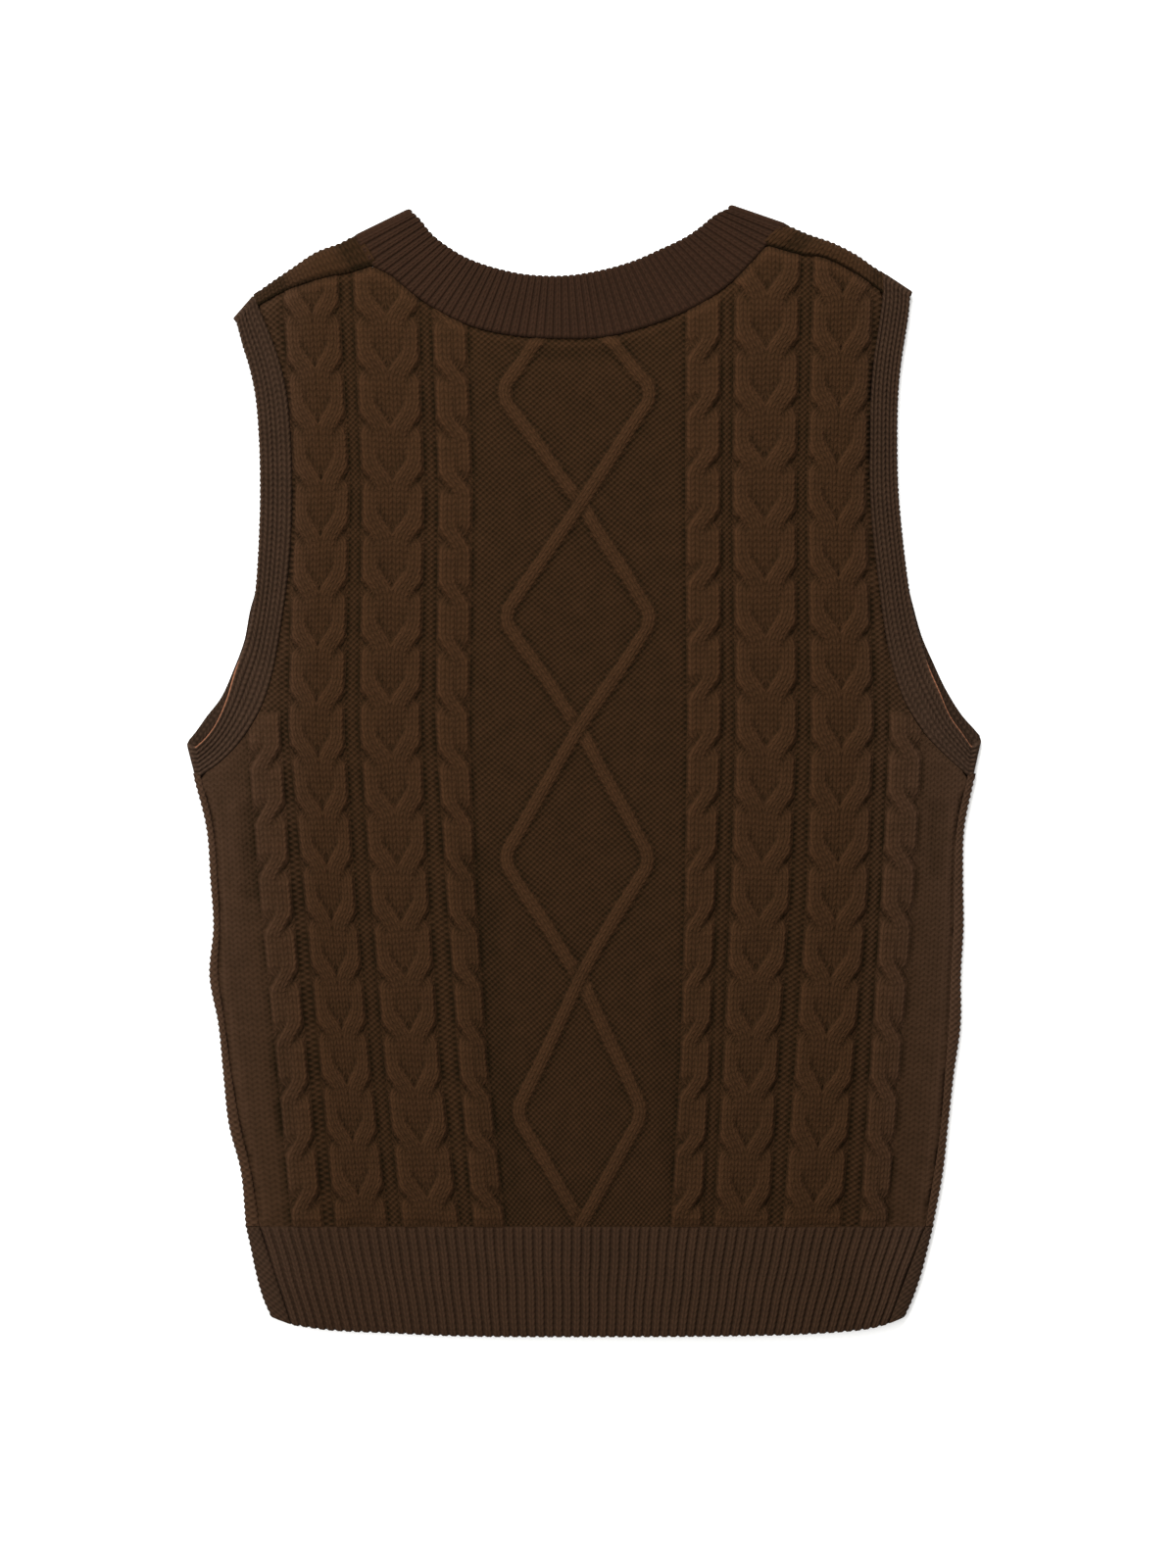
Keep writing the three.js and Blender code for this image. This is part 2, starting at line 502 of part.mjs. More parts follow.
/** A flat wall with a rolled edge along each pair of rows of fold and seam points. */
function wallWithRolls(outline, rolls) {
  const wall = solidOf(plate(inset(outline), 0, FRONT_TOP));
  const joined = rolls.reduce((whole, [folds, seams]) => whole.add(solidOf(rolledEdge(folds, seams))), wall);
  return geometryOf(joined);
}

const leftArm = armRungs(LEFT_ARM);
const rightArm = armRungs(RIGHT_ARM);
const neck = neckRungs();
const sides = {
  leftFold: SIDES.map((row) => flatPoint(row.foldLeft, row.up)),
  leftSeam: SIDES.map((row) => flatPoint(row.seamLeft, row.up)),
  rightFold: SIDES.map((row) => flatPoint(row.foldRight, row.up)),
  rightSeam: SIDES.map((row) => flatPoint(row.seamRight, row.up)),
};
const shoulders = {
  leftFold: pointsOf(LEFT_SHOULDER, 'foldX', 'foldUp'),
  leftSeam: pointsOf(LEFT_SHOULDER, 'seamX', 'seamUp'),
  rightFold: pointsOf(RIGHT_SHOULDER, 'foldX', 'foldUp'),
  rightSeam: pointsOf(RIGHT_SHOULDER, 'seamX', 'seamUp'),
};

/** Points of a row that lie between two heights. */
const between = (points, low, high) => points.filter((point) => point.y > toY(low) && point.y < toY(high));

/** Seam points of the neckband between the two shoulder seams. */
function neckSeam() {
  const [first, last] = cornerRungs(neck.back);
  return neck.back.slice(first, last + 1).map((rung) => rung.seam);
}

const CORNER_CLEAR = 1.5; // the seam line turns into a shoulder seam this far below its end

/** The seam line all round the back panel, from its left hem corner. */
function backSeamLine() {
  const leftArmSeam = leftArm.back.map((rung) => rung.seam).reverse();
  const rightArmSeam = rightArm.back.map((rung) => rung.seam);
  return [
    flatPoint(HEM_SEAMS.left.x, HEM_TOP),
    ...sides.leftSeam.slice(1),
    ...between(leftArmSeam, LEFT_ARM.at(-1).seamUp, LEFT_SHOULDER[0].seamUp - CORNER_CLEAR),
    ...shoulders.leftSeam,
    ...neckSeam(),
    ...shoulders.rightSeam,
    ...between(rightArmSeam, RIGHT_ARM.at(-1).seamUp, RIGHT_SHOULDER.at(-1).seamUp - CORNER_CLEAR),
    ...[...sides.rightSeam].reverse().slice(0, -1),
    flatPoint(HEM_SEAMS.right.x, HEM_TOP),
  ];
}

// Cables

/** How much a place across goes with the right side: 0 left, 1 right, rising in the middle. */
const rightShare = (x) => (THREE.MathUtils.clamp(x / CROSSING_BLEND, -1, 1) + 1) / 2;

/** Share of a repeat that a cable has gone since its last crossing below this height. */
function cablePhase(x, up) {
  const [left, right] = [CROSSING_LEFT, CROSSING_RIGHT].map((side) => (up - side.first) / side.repeat);
  const repeats = THREE.MathUtils.lerp(left, right, rightShare(x));
  return repeats - Math.floor(repeats);
}

/** Middle and half width of a cable column at a height. */
function columnAt(name, up) {
  return [0, 1].map((part) => readTable(COLUMNS, up, (row) => row[name][part]));
}

/** Rounded height of one strand, 1 at its middle and 0 at its edge and beyond. */
const dome = (distance) => Math.sqrt(Math.max(0, 1 - distance * distance));

/** Height of a cable above the ground, as a share of its full rise. */
function cableRise({ name, strands, over }, x, up) {
  const [middle, half] = columnAt(name, up);
  const place = (x - middle) / half;
  if (Math.abs(place) >= 1) return 0;
  const phase = cablePhase(x, up);
  const travel = smooth(phase / CROSSING_SHARE);
  const heave = phase < CROSSING_SHARE ? Math.sin((Math.PI * phase) / CROSSING_SHARE) : 0;
  const apart = 2 / strands; // between the middles of two strands
  const first = apart / 2;
  const upper = strands === 4 ? first + apart * travel : over * first * (1 - 2 * travel);
  const lower = strands === 4 ? first + apart * (1 - travel) : -upper;
  const here = strands === 4 ? Math.abs(place) : place;
  const reach = first * STRAND.spread;
  const upperRise = dome((here - upper) / reach) * (STRAND.level + STRAND.heave * heave);
  const lowerRise = dome((here - lower) / reach) * (STRAND.level - STRAND.dip * heave);
  const fade = name.startsWith('side') ? smooth((SIDE_CABLE.top - up) / SIDE_CABLE.fade) : 1;
  return Math.max(upperRise, lowerRise) * fade;
}

/** Where a diamond cord runs at a height, a little rounded at its turns. */
function cordAt(side, up) {
  const near = [-CORD_TURN, 0, CORD_TURN].map((shift) => readTable(DIAMONDS, up + shift, (row) => row[side]));
  return (near[0] + near[1] + near[2]) / near.length;
}

/** Height of the diamond cords above the ground, as a share of their full rise. */
function cordRise(x, up) {
  return Math.max(...['left', 'right'].map((side) => {
    const slope = (cordAt(side, up + 1) - cordAt(side, up - 1)) / 2;
    return dome(((x - cordAt(side, up)) * 2) / (CORD_WIDTH * Math.hypot(1, slope)));
  }));
}

/** Full relief of the back's outer side at a place. */
function relief(x, up) {
  const cables = Math.max(...CABLES.map((cable) => cableRise(cable, x, up)));
  return Math.max(CABLE_RISE * cables, CORD_RISE * cordRise(x, up));
}

// Working surfaces of the back, which reach past its outline before that cuts them
const OVERREACH = 230;
const WORKING = { lowest: -20, highest: 40 };
const CUT = { lowest: -10, highest: 30 };
const ROWS_PER_REPEAT = 3;
const REPEATS = { from: -2 / 3, to: 17.5 };
const INSIDE_GRID = { columns: 20, rows: 26, from: 40, to: 630 };
const SEAM_PRESS = { reach: 6, least: 0.45 }; // the relief is pressed down near a seam
// Working columns: shares of a cable's half width, and steps from a cord's middle with the least
// distance from the middle of the diamonds
const CABLE_SHARES = {
  2: [-1.08, -0.6, 0, 0.6, 1.08],
  4: [-1.04, -0.78, -0.5, -0.25, 0, 0.25, 0.5, 0.78, 1.04],
};
const CORD_STEPS = [
  { step: -4.6, least: 0.5 },
  { step: -2, least: 0.9 },
  { step: 2, least: 2.2 },
  { step: 4.6, least: 4.8 },
];
const LEAST_COLUMN = 0.4;
const HALF = CABLES.length / 2;

/** Places across the back where a cable, a strand or a cord begins, peaks or ends. */
function columnPlaces(up) {
  const placed = (cable) => CABLE_SHARES[cable.strands].map((share) => {
    const [middle, half] = columnAt(cable.name, up);
    return middle + share * half;
  });
  const [left, right] = [CABLES.slice(0, HALF).flatMap(placed), CABLES.slice(HALF).flatMap(placed)];
  const cords = [cordAt('left', up), cordAt('right', up)];
  const [middle, apart] = [(cords[0] + cords[1]) / 2, (cords[1] - cords[0]) / 2];
  const steps = CORD_STEPS.map(({ step, least }) => Math.max(apart + step, least));
  const leftCord = steps.map((step) => middle - step).reverse();
  const rightCord = steps.map((step) => middle + step);
  const margins = [(left.at(-1) + leftCord[0]) / 2, (right[0] + rightCord.at(-1)) / 2];
  const diamonds = [margins[0], ...leftCord, middle, ...rightCord, margins[1]];
  const places = [-OVERREACH, ...left, ...diamonds, ...right, OVERREACH];
  return places.map((place, i) => (i > 0 ? Math.max(place, places[i - 1] + LEAST_COLUMN) : place));
}

/** Whether each column of cells creases to the left: where the strands on top run that way. */
function leftwardCells() {
  const cells = (cable) => CABLE_SHARES[cable.strands].map((_, i, all) => {
    return cable.strands === 4 ? i < (all.length - 1) / 2 : cable.over > 0;
  });
  const plain = new Array(2 * CORD_STEPS.length + 3).fill(false);
  return [false, ...CABLES.slice(0, HALF).flatMap(cells), ...plain, ...CABLES.slice(HALF).flatMap(cells)];
}

/** Height of a working row, counted in repeats above the first crossing, at a place across. */
function rowHeight(repeats, x) {
  const [left, right] = [CROSSING_LEFT, CROSSING_RIGHT].map((side) => side.first + repeats * side.repeat);
  return THREE.MathUtils.lerp(left, right, rightShare(x));
}

/** How far the back lifts off the front: soft loft from its seams, less in the troughs. */
function loftAt(outline, x, up) {
  const rise = LOFT * smooth(distanceTo(outline, x, toY(up)) / LOFT_REACH);
  const sink = TROUGHS.map((trough) => {
    const [dx, dup] = [trough.toX - trough.x, trough.toUp - trough.up];
    const share = ((x - trough.x) * dx + (up - trough.up) * dup) / (dx * dx + dup * dup);
    const onto = THREE.MathUtils.clamp(share, 0, 1);
    const aside = Math.hypot(x - trough.x - onto * dx, up - trough.up - onto * dup);
    return trough.depth * (1 - smooth(aside / trough.reach));
  });
  return Math.max(rise - Math.max(...sink), 0);
}

/** Rows of points on the back's outer side. */
function outsideRows(outline) {
  const rows = [];
  for (let repeats = REPEATS.from; repeats <= REPEATS.to; repeats += 1 / ROWS_PER_REPEAT) {
    const start = columnPlaces(rowHeight(repeats, 0));
    rows.push(start.map((near, i) => {
      const closer = columnPlaces(rowHeight(repeats, near))[i];
      const x = columnPlaces(rowHeight(repeats, closer))[i];
      const up = rowHeight(repeats, x);
      const clear = smooth(distanceTo(outline, x, toY(up)) / SEAM_PRESS.reach);
      const press = THREE.MathUtils.lerp(SEAM_PRESS.least, 1, clear);
      const z = BACK_BOTTOM + GROUND + loftAt(outline, x, up) + relief(x, up) * press;
      return new THREE.Vector3(x, toY(up), z);
    }));
  }
  return rows;
}

/** Rows of points on the back's plain inner side. */
function insideRows(outline) {
  const { columns, rows, from, to } = INSIDE_GRID;
  return Array.from({ length: rows + 1 }, (_, i) => Array.from({ length: columns + 1 }, (_, j) => {
    const x = THREE.MathUtils.lerp(-OVERREACH, OVERREACH, j / columns);
    const up = THREE.MathUtils.lerp(from, to, i / rows);
    return new THREE.Vector3(x, toY(up), BACK_BOTTOM + loftAt(outline, x, up));
  }));
}

/** The back panel: a plain inside, and an outside raised into cables and diamonds. */
function backPanel() {
  const outline = inset(backSeamLine());
  const leftward = leftwardCells();
  const outer = solidOf(block(outsideRows(outline), WORKING.lowest, (column) => leftward[column]));
  const inner = solidOf(block(insideRows(outline), WORKING.highest));
  const cut = solidOf(plate(outline, CUT.lowest, CUT.highest));
  return geometryOf(outer.intersect(inner).intersect(cut));
}

/** The front panel: a flat wall with rolled edges at its sides and shoulders. */
function frontPanel() {
  const outline = [
    flatPoint(SIDES[0].foldLeft + ROLL_INSET, HEM_TOP),
    ...midway(sides.leftFold, sides.leftSeam).slice(1),
    ...leftArm.front.map((rung) => rung.seam).slice(1, -1),
    ...midway(shoulders.leftFold, shoulders.leftSeam),
    ...neck.front.map((rung) => rung.seam).reverse().slice(1, -1),
    ...midway(shoulders.rightFold, shoulders.rightSeam),
    ...rightArm.front.map((rung) => rung.seam).reverse().slice(1, -1),
    ...midway(sides.rightFold, sides.rightSeam).reverse().slice(0, -1),
    flatPoint(SIDES[0].foldRight - ROLL_INSET, HEM_TOP),
  ];
  return wallWithRolls(outline, [
    [sides.leftFold, sides.leftSeam],
    [sides.rightFold, sides.rightSeam],
    [shoulders.leftFold, shoulders.leftSeam],
    [shoulders.rightFold, shoulders.rightSeam],
  ]);
}

// Hem rib
const hemEdge = HEM_EDGE.map((row) => flatPoint(row.x, row.up));

/** The back of the hem: ribs that run from its seam to its free edge. */
function backHem() {
  const { left, right } = HEM_SEAMS;
  const seams = [flatPoint(left.x + SEAM_GAP, HEM_TOP), flatPoint(right.x - SEAM_GAP, HEM_TOP)];
  const rungs = layerRungs(hemEdge, seams, 2 * HEM_RIBS + 1, 0);
  return throughRings(rungs.map((rung, i) => BAND_PROFILE.map(([share, depth]) => {
    return rungPoint(rung, share, depth * (CLOTH - (i % 2 ? 0 : RIB_DEPTH)));
  })));
}

/** The front of the hem, rolled round the side folds like the front panel above it. */
function frontHem() {
  const seamPoints = ({ x, up, toX, toUp }) => HEM_FOLDS.map((_, i) => {
    return flatPoint(x, up).lerp(flatPoint(toX, toUp), i / (HEM_FOLDS.length - 1));
  });
  const [leftSeam, rightSeam] = [seamPoints(HEM_SEAMS.left), seamPoints(HEM_SEAMS.right)];
  const leftFold = HEM_FOLDS.map((row) => flatPoint(row.foldLeft, row.up));
  const rightFold = HEM_FOLDS.map((row) => flatPoint(row.foldRight, row.up));
  const outline = [
    flatPoint(HEM_FOLDS[0].foldLeft + ROLL_INSET, HEM_TOP + SEAM_GAP),
    ...midway(leftFold, leftSeam).slice(1),
    ...hemEdge,
    ...midway(rightFold, rightSeam).reverse().slice(0, -1),
    flatPoint(HEM_FOLDS[0].foldRight - ROLL_INSET, HEM_TOP + SEAM_GAP),
  ];
  return wallWithRolls(outline, [[leftFold, leftSeam], [rightFold, rightSeam]]);
}

const vest = new THREE.Group();
const addPiece = (name, geometry, material) => {
  geometry.computeVertexNormals();
  const mesh = new THREE.Mesh(geometry, material);
  mesh.name = name;
  vest.add(mesh);
};

addPiece('back_panel', backPanel(), CABLE_KNIT);
addPiece('front_panel', frontPanel(), CABLE_KNIT);
addPiece('back_hem_rib', backHem(), RIB_KNIT);
addPiece('front_hem_rib', frontHem(), RIB_KNIT);
addPiece('neckband', neckband(neck), RIB_KNIT);
addPiece('armband_left', armband(leftArm), RIB_KNIT);
addPiece('armband_right', armband(rightArm), RIB_KNIT);

export default vest;
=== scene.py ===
"""A knitted sweater vest laid flat on its front, so that its back shows, dressed round its frame.

Lengths are in millimetres until a mesh is filled. x is measured across from the middle of the
vest, up from the lowest point of its hem and z from the table, and left is the viewer's left.
"""

import logging
from collections.abc import Callable
from dataclasses import dataclass
from enum import Enum

import bmesh
import bpy
import numpy as np
from mathutils.geometry import delaunay_2d_cdt
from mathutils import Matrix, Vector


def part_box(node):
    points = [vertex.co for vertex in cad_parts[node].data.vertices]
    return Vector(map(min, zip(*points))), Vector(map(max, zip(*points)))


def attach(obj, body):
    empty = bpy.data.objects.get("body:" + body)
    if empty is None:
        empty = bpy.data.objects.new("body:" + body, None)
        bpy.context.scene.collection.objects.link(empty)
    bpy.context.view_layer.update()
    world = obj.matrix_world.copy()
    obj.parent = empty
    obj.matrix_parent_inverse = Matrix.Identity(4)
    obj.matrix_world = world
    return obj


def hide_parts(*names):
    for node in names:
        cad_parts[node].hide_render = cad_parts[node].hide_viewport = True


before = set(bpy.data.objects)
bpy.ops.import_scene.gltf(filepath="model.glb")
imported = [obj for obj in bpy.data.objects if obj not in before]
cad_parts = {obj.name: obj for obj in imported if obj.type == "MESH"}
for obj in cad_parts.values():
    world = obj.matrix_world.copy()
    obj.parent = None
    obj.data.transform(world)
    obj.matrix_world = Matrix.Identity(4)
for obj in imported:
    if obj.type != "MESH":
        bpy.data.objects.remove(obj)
log = logging.getLogger("vest")

Pair = tuple[float, float]
Cut = tuple[Pair, float]  # width and length of a flat piece, and its area

MM = 0.001
TAU = 2 * np.pi
LENGTH = 624.0  # hem edge to neck points
IMAGE = (1200, 1600)  # the photograph's frame, in pixels
PIXEL = 0.54  # one pixel of it at the cloth

# Layers, from the frame: the back half of the hem rib is one wall that lies on the front layer
HEM_LOW, HEM_HIGH = (corner.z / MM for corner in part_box("back_hem_rib"))
BACK_BOTTOM = HEM_LOW
CLOTH = HEM_HIGH - HEM_LOW  # wall of the front, the bands and the hem
FRONT_TOP = CLOTH
SEAM_GAP = BACK_BOTTOM - FRONT_TOP
BAND_MIDDLE = (FRONT_TOP + BACK_BOTTOM) / 2  # the level round which a band turns over
INNER_RADIUS = SEAM_GAP / 2
FOLD_TOP = 5.8  # top of the rolled edges
GROUND = 2.4  # wall of the back between its cables
WELD = 2e-5  # metres; points closer than this are one point
NEAR = 1e-7  # millimetres; outline points closer than this are one point
SHARP = np.radians(65)  # edges that turn more than this stay crisp

COURSE = 3.4  # height of a row of plain stitches
PURL_WALE = 3.7  # width of a column of purl ones
PURL_COURSE = 3.2  # height of a row of them
ROLL_WALE = 4.2  # wales are stretched where the cloth comes round a fold

# The seam between the hem rib and the panels
HEM_TOP = 60.5
HEM_FOLDS = (-187.0, 192.4)  # the outline at that seam
HEM_SEAMS = (-179.1, 187.7)  # the rib's side seams there
PANEL_FEET = (-178.9, 187.5)  # the back panel's lower corners
WALL_INSET = 3.0  # from the outline to the corners of the front's flat walls


def smooth(value: np.ndarray | float) -> np.ndarray:
    """Eases from 0 to 1: three times the square less twice the cube, held level outside."""
    share = np.clip(value, 0, 1)
    return share * share * (3 - 2 * share)


def linear(hex_colour: str) -> tuple[float, float, float, float]:
    """Turns an sRGB hex colour into linear light, with full opacity.

    Args:
        hex_colour: the colour, as a hash and six digits.

    Returns:
        Red, green, blue and opacity.
    """
    srgb = np.array([int(hex_colour[i : i + 2], 16) for i in (1, 3, 5)]) / 255
    light = np.where(srgb <= 0.04045, srgb / 12.92, ((srgb + 0.055) / 1.055) ** 2.4)
    return (*(float(part) for part in light), 1.0)


@dataclass(frozen=True)
class Table:
    """A short table whose columns are read by name.

    Attributes:
        names: names of its columns.
        rows: (n, k) numbers, a column for each name.
    """

    names: tuple[str, ...]
    rows: np.ndarray

    @classmethod
    def of(cls, names: str, *rows: tuple[float, ...]) -> "Table":
        """Makes a table from the names of its columns and its rows."""
        return cls(tuple(names.split()), np.array(rows, float))

    def column(self, name: str) -> np.ndarray:
        """One column."""
        return self.rows[:, self.names.index(name)]

    def points(self, x: str, up: str) -> np.ndarray:
        """Two columns as points."""
        return np.column_stack([self.column(x), self.column(up)])


# Side folds and the side seams just inside them, which lie on the back
SIDES = Table.of(
    "up fold_left seam_left seam_right fold_right",
    (60.8, -187.0, -179.2, 187.7, 192.4),
    (91, -189.8, -184.0, 192.9, 197.9),
    (116, -196.3, -189.8, 196.3, 200.6),
    (145, -199.5, -194.7, 198.7, 203.9),
    (172, -202.2, -198.2, 200.7, 207.6),
    (199, -207.1, -201.9, 201.8, 207.7),
    (226, -204.9, -201.2, 203.3, 209.2),
    (252, -206.6, -202.3, 203.6, 208.9),
    (280, -208.7, -204.7, 205.2, 209.6),
    (307.3, -215.4, -211.2, 210.8, 215.1),
)

# The folds at the hem rib down to its corners, and its side seams, which lie on the back
HEM_SIDES = Table.of(
    "up fold_left fold_right seam_left seam_left_up seam_right seam_right_up",
    (HEM_TOP, *HEM_FOLDS, HEM_SEAMS[0], HEM_TOP, HEM_SEAMS[1], HEM_TOP),
    (48, -184.2, 189.4, -174.8, 47.0, 182.7, 47.1),
    (34.6, -181.4, 186.0, -170.5, 33.6, 177.7, 33.8),
    (21, -177.6, 181.4, -166.2, 20.1, 172.6, 20.4),
    (10.6, -173.1, 176.8, -161.9, 6.6, 167.6, 7.0),
)

HEM_EDGE = Table.of(
    "x up",
    (-161.6, 6.6),
    (-141.8, 3.8),
    (-106, 2.0),
    (-68, 0.4),
    (2, 0),
    (77, 0.4),
    (124, 1.6),
    (156, 4.3),
    (167.3, 7.0),
)

# Armbands from the shoulder fold to the underarm fold: free edge and seam on the back, and the
# free edge of the front half, which is cut deeper
ARM_COLUMNS = "edge_x edge_up seam_x seam_up front_x front_up"
LEFT_ARM = Table.of(
    ARM_COLUMNS,
    (-191.9, 559.0, -180.7, 571.9, -191.9, 559.0),
    (-190.6, 553.6, -179.6, 567.2, -190.6, 553.6),
    (-188.6, 546.0, -174.0, 553.6, -188.2, 546.0),
    (-185.2, 535.2, -168.0, 536.8, -184.2, 535.2),
    (-181.7, 518.9, -163.9, 517.8, -180.6, 518.9),
    (-179.6, 493.6, -161.8, 492.4, -178.4, 493.6),
    (-179.0, 466.6, -161.2, 466.6, -177.8, 466.6),
    (-179.6, 442.3, -161.8, 440.2, -178.6, 442.3),
    (-181.2, 415.3, -164.2, 412.8, -180.8, 415.3),
    (-183.3, 399.1, -166.6, 395.6, -184.9, 399.6),
    (-187.0, 382.9, -169.2, 379.4, -188.0, 383.4),
    (-193.0, 366.7, -172.6, 362.6, -194.0, 367.2),
    (-197.8, 350.6, -179.0, 344.6, -200.6, 352.4),
    (-204.0, 336.8, -189.6, 327.9, -208.8, 341.6),
    (-209.8, 329.2, -200.6, 316.6, -214.8, 333.2),
    (-214.3, 325.1, -211.8, 308.7, -218.6, 328.6),
)
RIGHT_ARM = Table.of(
    ARM_COLUMNS,
    (179.6, 573.2, 164.2, 583.4, 179.6, 573.2),
    (178.9, 564.6, 164.4, 573.8, 178.9, 564.6),
    (177.2, 553.2, 162.4, 557.8, 176.8, 553.2),
    (174.8, 538.0, 159.8, 540.6, 173.8, 538.0),
    (173.1, 520.6, 158.0, 520.6, 172.1, 520.6),
    (172.5, 493.6, 157.4, 493.6, 171.4, 493.6),
    (173.1, 466.6, 157.4, 466.6, 172.0, 466.6),
    (175.2, 442.3, 159.2, 440.0, 174.2, 442.3),
    (178.5, 415.3, 162.6, 412.2, 178.4, 415.3),
    (180.9, 401.0, 164.6, 396.4, 181.8, 401.4),
    (184.8, 385.6, 167.0, 381.4, 186.2, 386.0),
    (189.6, 370.4, 170.8, 365.4, 192.6, 371.2),
    (195.8, 355.8, 176.6, 349.4, 199.6, 356.4),
    (201.8, 341.8, 186.0, 333.8, 208.2, 342.6),
    (208.0, 333.0, 198.0, 320.8, 214.0, 336.0),
    (213.2, 325.4, 211.4, 308.9, 218.2, 331.2),
)

# Neckband from the left shoulder fold round the back to the right one, with its V on the front
NECK = Table.of(
    "edge_x edge_up seam_x seam_up",
    (-95.1, 619.4, -125.9, 604.3),
    (-91.6, 616.2, -116.9, 590.2),
    (-84.5, 607.5, -106.6, 584.6),
    (-76.4, 601.0, -95.3, 575.1),
    (-65.6, 594.5, -80.8, 565.4),
    (-51.0, 589.1, -61.9, 556.6),
    (-33.2, 585.2, -38.6, 551.6),
    (-12.2, 584.3, -13.2, 550.0),
    (7.3, 587.0, 10.0, 550.8),
    (26.2, 592.2, 33.2, 556.2),
    (42.4, 599.2, 53.2, 563.8),
    (55.9, 605.7, 69.4, 572.4),
    (64.6, 611.8, 81.8, 581.6),
    (71.6, 617.6, 92.6, 592.6),
    (75.4, 619.8, 100.7, 601.6),
    (79.2, 621.4, 110.5, 610.6),
)
NECK_CORNER_ROWS = (1, -2)  # where the shoulder seams meet the neckband
V_EDGE = (-3.0, 430.0)
V_SEAM = (-3.0, 359.0)

# Shoulder folds at the outline, and the shoulder seams, which lie on the back
SHOULDER_COLUMNS = "fold_x fold_up seam_x seam_up"
LEFT_SHOULDER = Table.of(
    SHOULDER_COLUMNS,
    (-180.2, 576.2, -178.9, 568.6),
    (-174.2, 580.5, -168.2, 574.6),
    (-161.2, 589.4, -155.0, 580.0),
    (-148.2, 598.0, -142.0, 583.8),
    (-135.3, 602.8, -129.0, 586.2),
    (-128.4, 606.4, -117.6, 589.6),
)
RIGHT_SHOULDER = Table.of(
    SHOULDER_COLUMNS,
    (112.9, 612.4, 101.3, 601.0),
    (123.9, 607.7, 118.0, 596.4),
    (136.9, 603.2, 131.5, 594.6),
    (150.2, 596.4, 146.0, 588.0),
    (159.6, 589.8, 156.0, 581.4),
    (163.5, 587.4, 163.5, 575.8),
)


def spline(points: np.ndarray, count: int, fine: int = 40) -> np.ndarray:
    """Evenly spaced points on a smooth curve through the given ones.

    Each stretch is a cubic through its two points. Its end slopes come from the points on either
    side, with the square roots of the distances as knots, and the result is read off at even
    steps of the curve's length.

    Args:
        points: (n, 2) points that the curve passes.
        count: how many points to return.
        fine: samples in each stretch while the length is measured.

    Returns:
        (count, 2) points from the first to the last.
    """
    full = np.vstack([2 * points[0] - points[1], points, 2 * points[-1] - points[-2]])
    knots = np.sqrt(np.linalg.norm(np.diff(full, axis=0), axis=1))[:, None]
    before, here, after = knots[:-2], knots[1:-1], knots[2:]
    p0, p1, p2, p3 = full[:-3], full[1:-2], full[2:-1], full[3:]
    start = ((p1 - p0) / before - (p2 - p0) / (before + here) + (p2 - p1) / here) * here
    end = ((p2 - p1) / here - (p3 - p1) / (here + after) + (p3 - p2) / after) * here
    t = np.linspace(0, 1, fine, endpoint=False)[:, None, None]
    square = t * t * (3 * (p2 - p1) - 2 * start - end)
    cube = t**3 * (2 * (p1 - p2) + start + end)
    curve = (p1 + t * start + square + cube).transpose(1, 0, 2).reshape(-1, 2)
    return evenly(np.vstack([curve, points[-1]]), count)


def run_length(points: np.ndarray) -> np.ndarray:
    """Distance along a row of points, from its first."""
    steps = np.linalg.norm(np.diff(points, axis=0), axis=1)
    return np.concatenate([[0], np.cumsum(steps)])


def evenly(points: np.ndarray, count: int) -> np.ndarray:
    """Points at even steps along a line of straight stretches.

    Args:
        points: (n, 2) corners of the line.
        count: how many points to return.

    Returns:
        (count, 2) points from the first to the last.
    """
    length = run_length(points)
    places = np.linspace(0, length[-1], count)
    return np.column_stack([np.interp(places, length, points[:, i]) for i in range(2)])


@dataclass(frozen=True)
class Cable:
    """One cable column of the back.

    Attributes:
        strands: 4 for a wide cable, whose outer strands pass over the inner ones, 2 for a rope.
        over: way in which a rope's upper strand runs as it goes down, 1 to the right.
        first: height at which its first crossing starts.
        repeat: height from one crossing to the next.
        middles: its middle at each of COLUMN_HEIGHTS.
        halves: its half width there.
        top: height at which it ends under the armbands, if it does.
    """

    strands: int
    over: int
    first: float
    repeat: float
    middles: tuple[float, ...]
    halves: tuple[float, ...]
    top: float = 1000.0


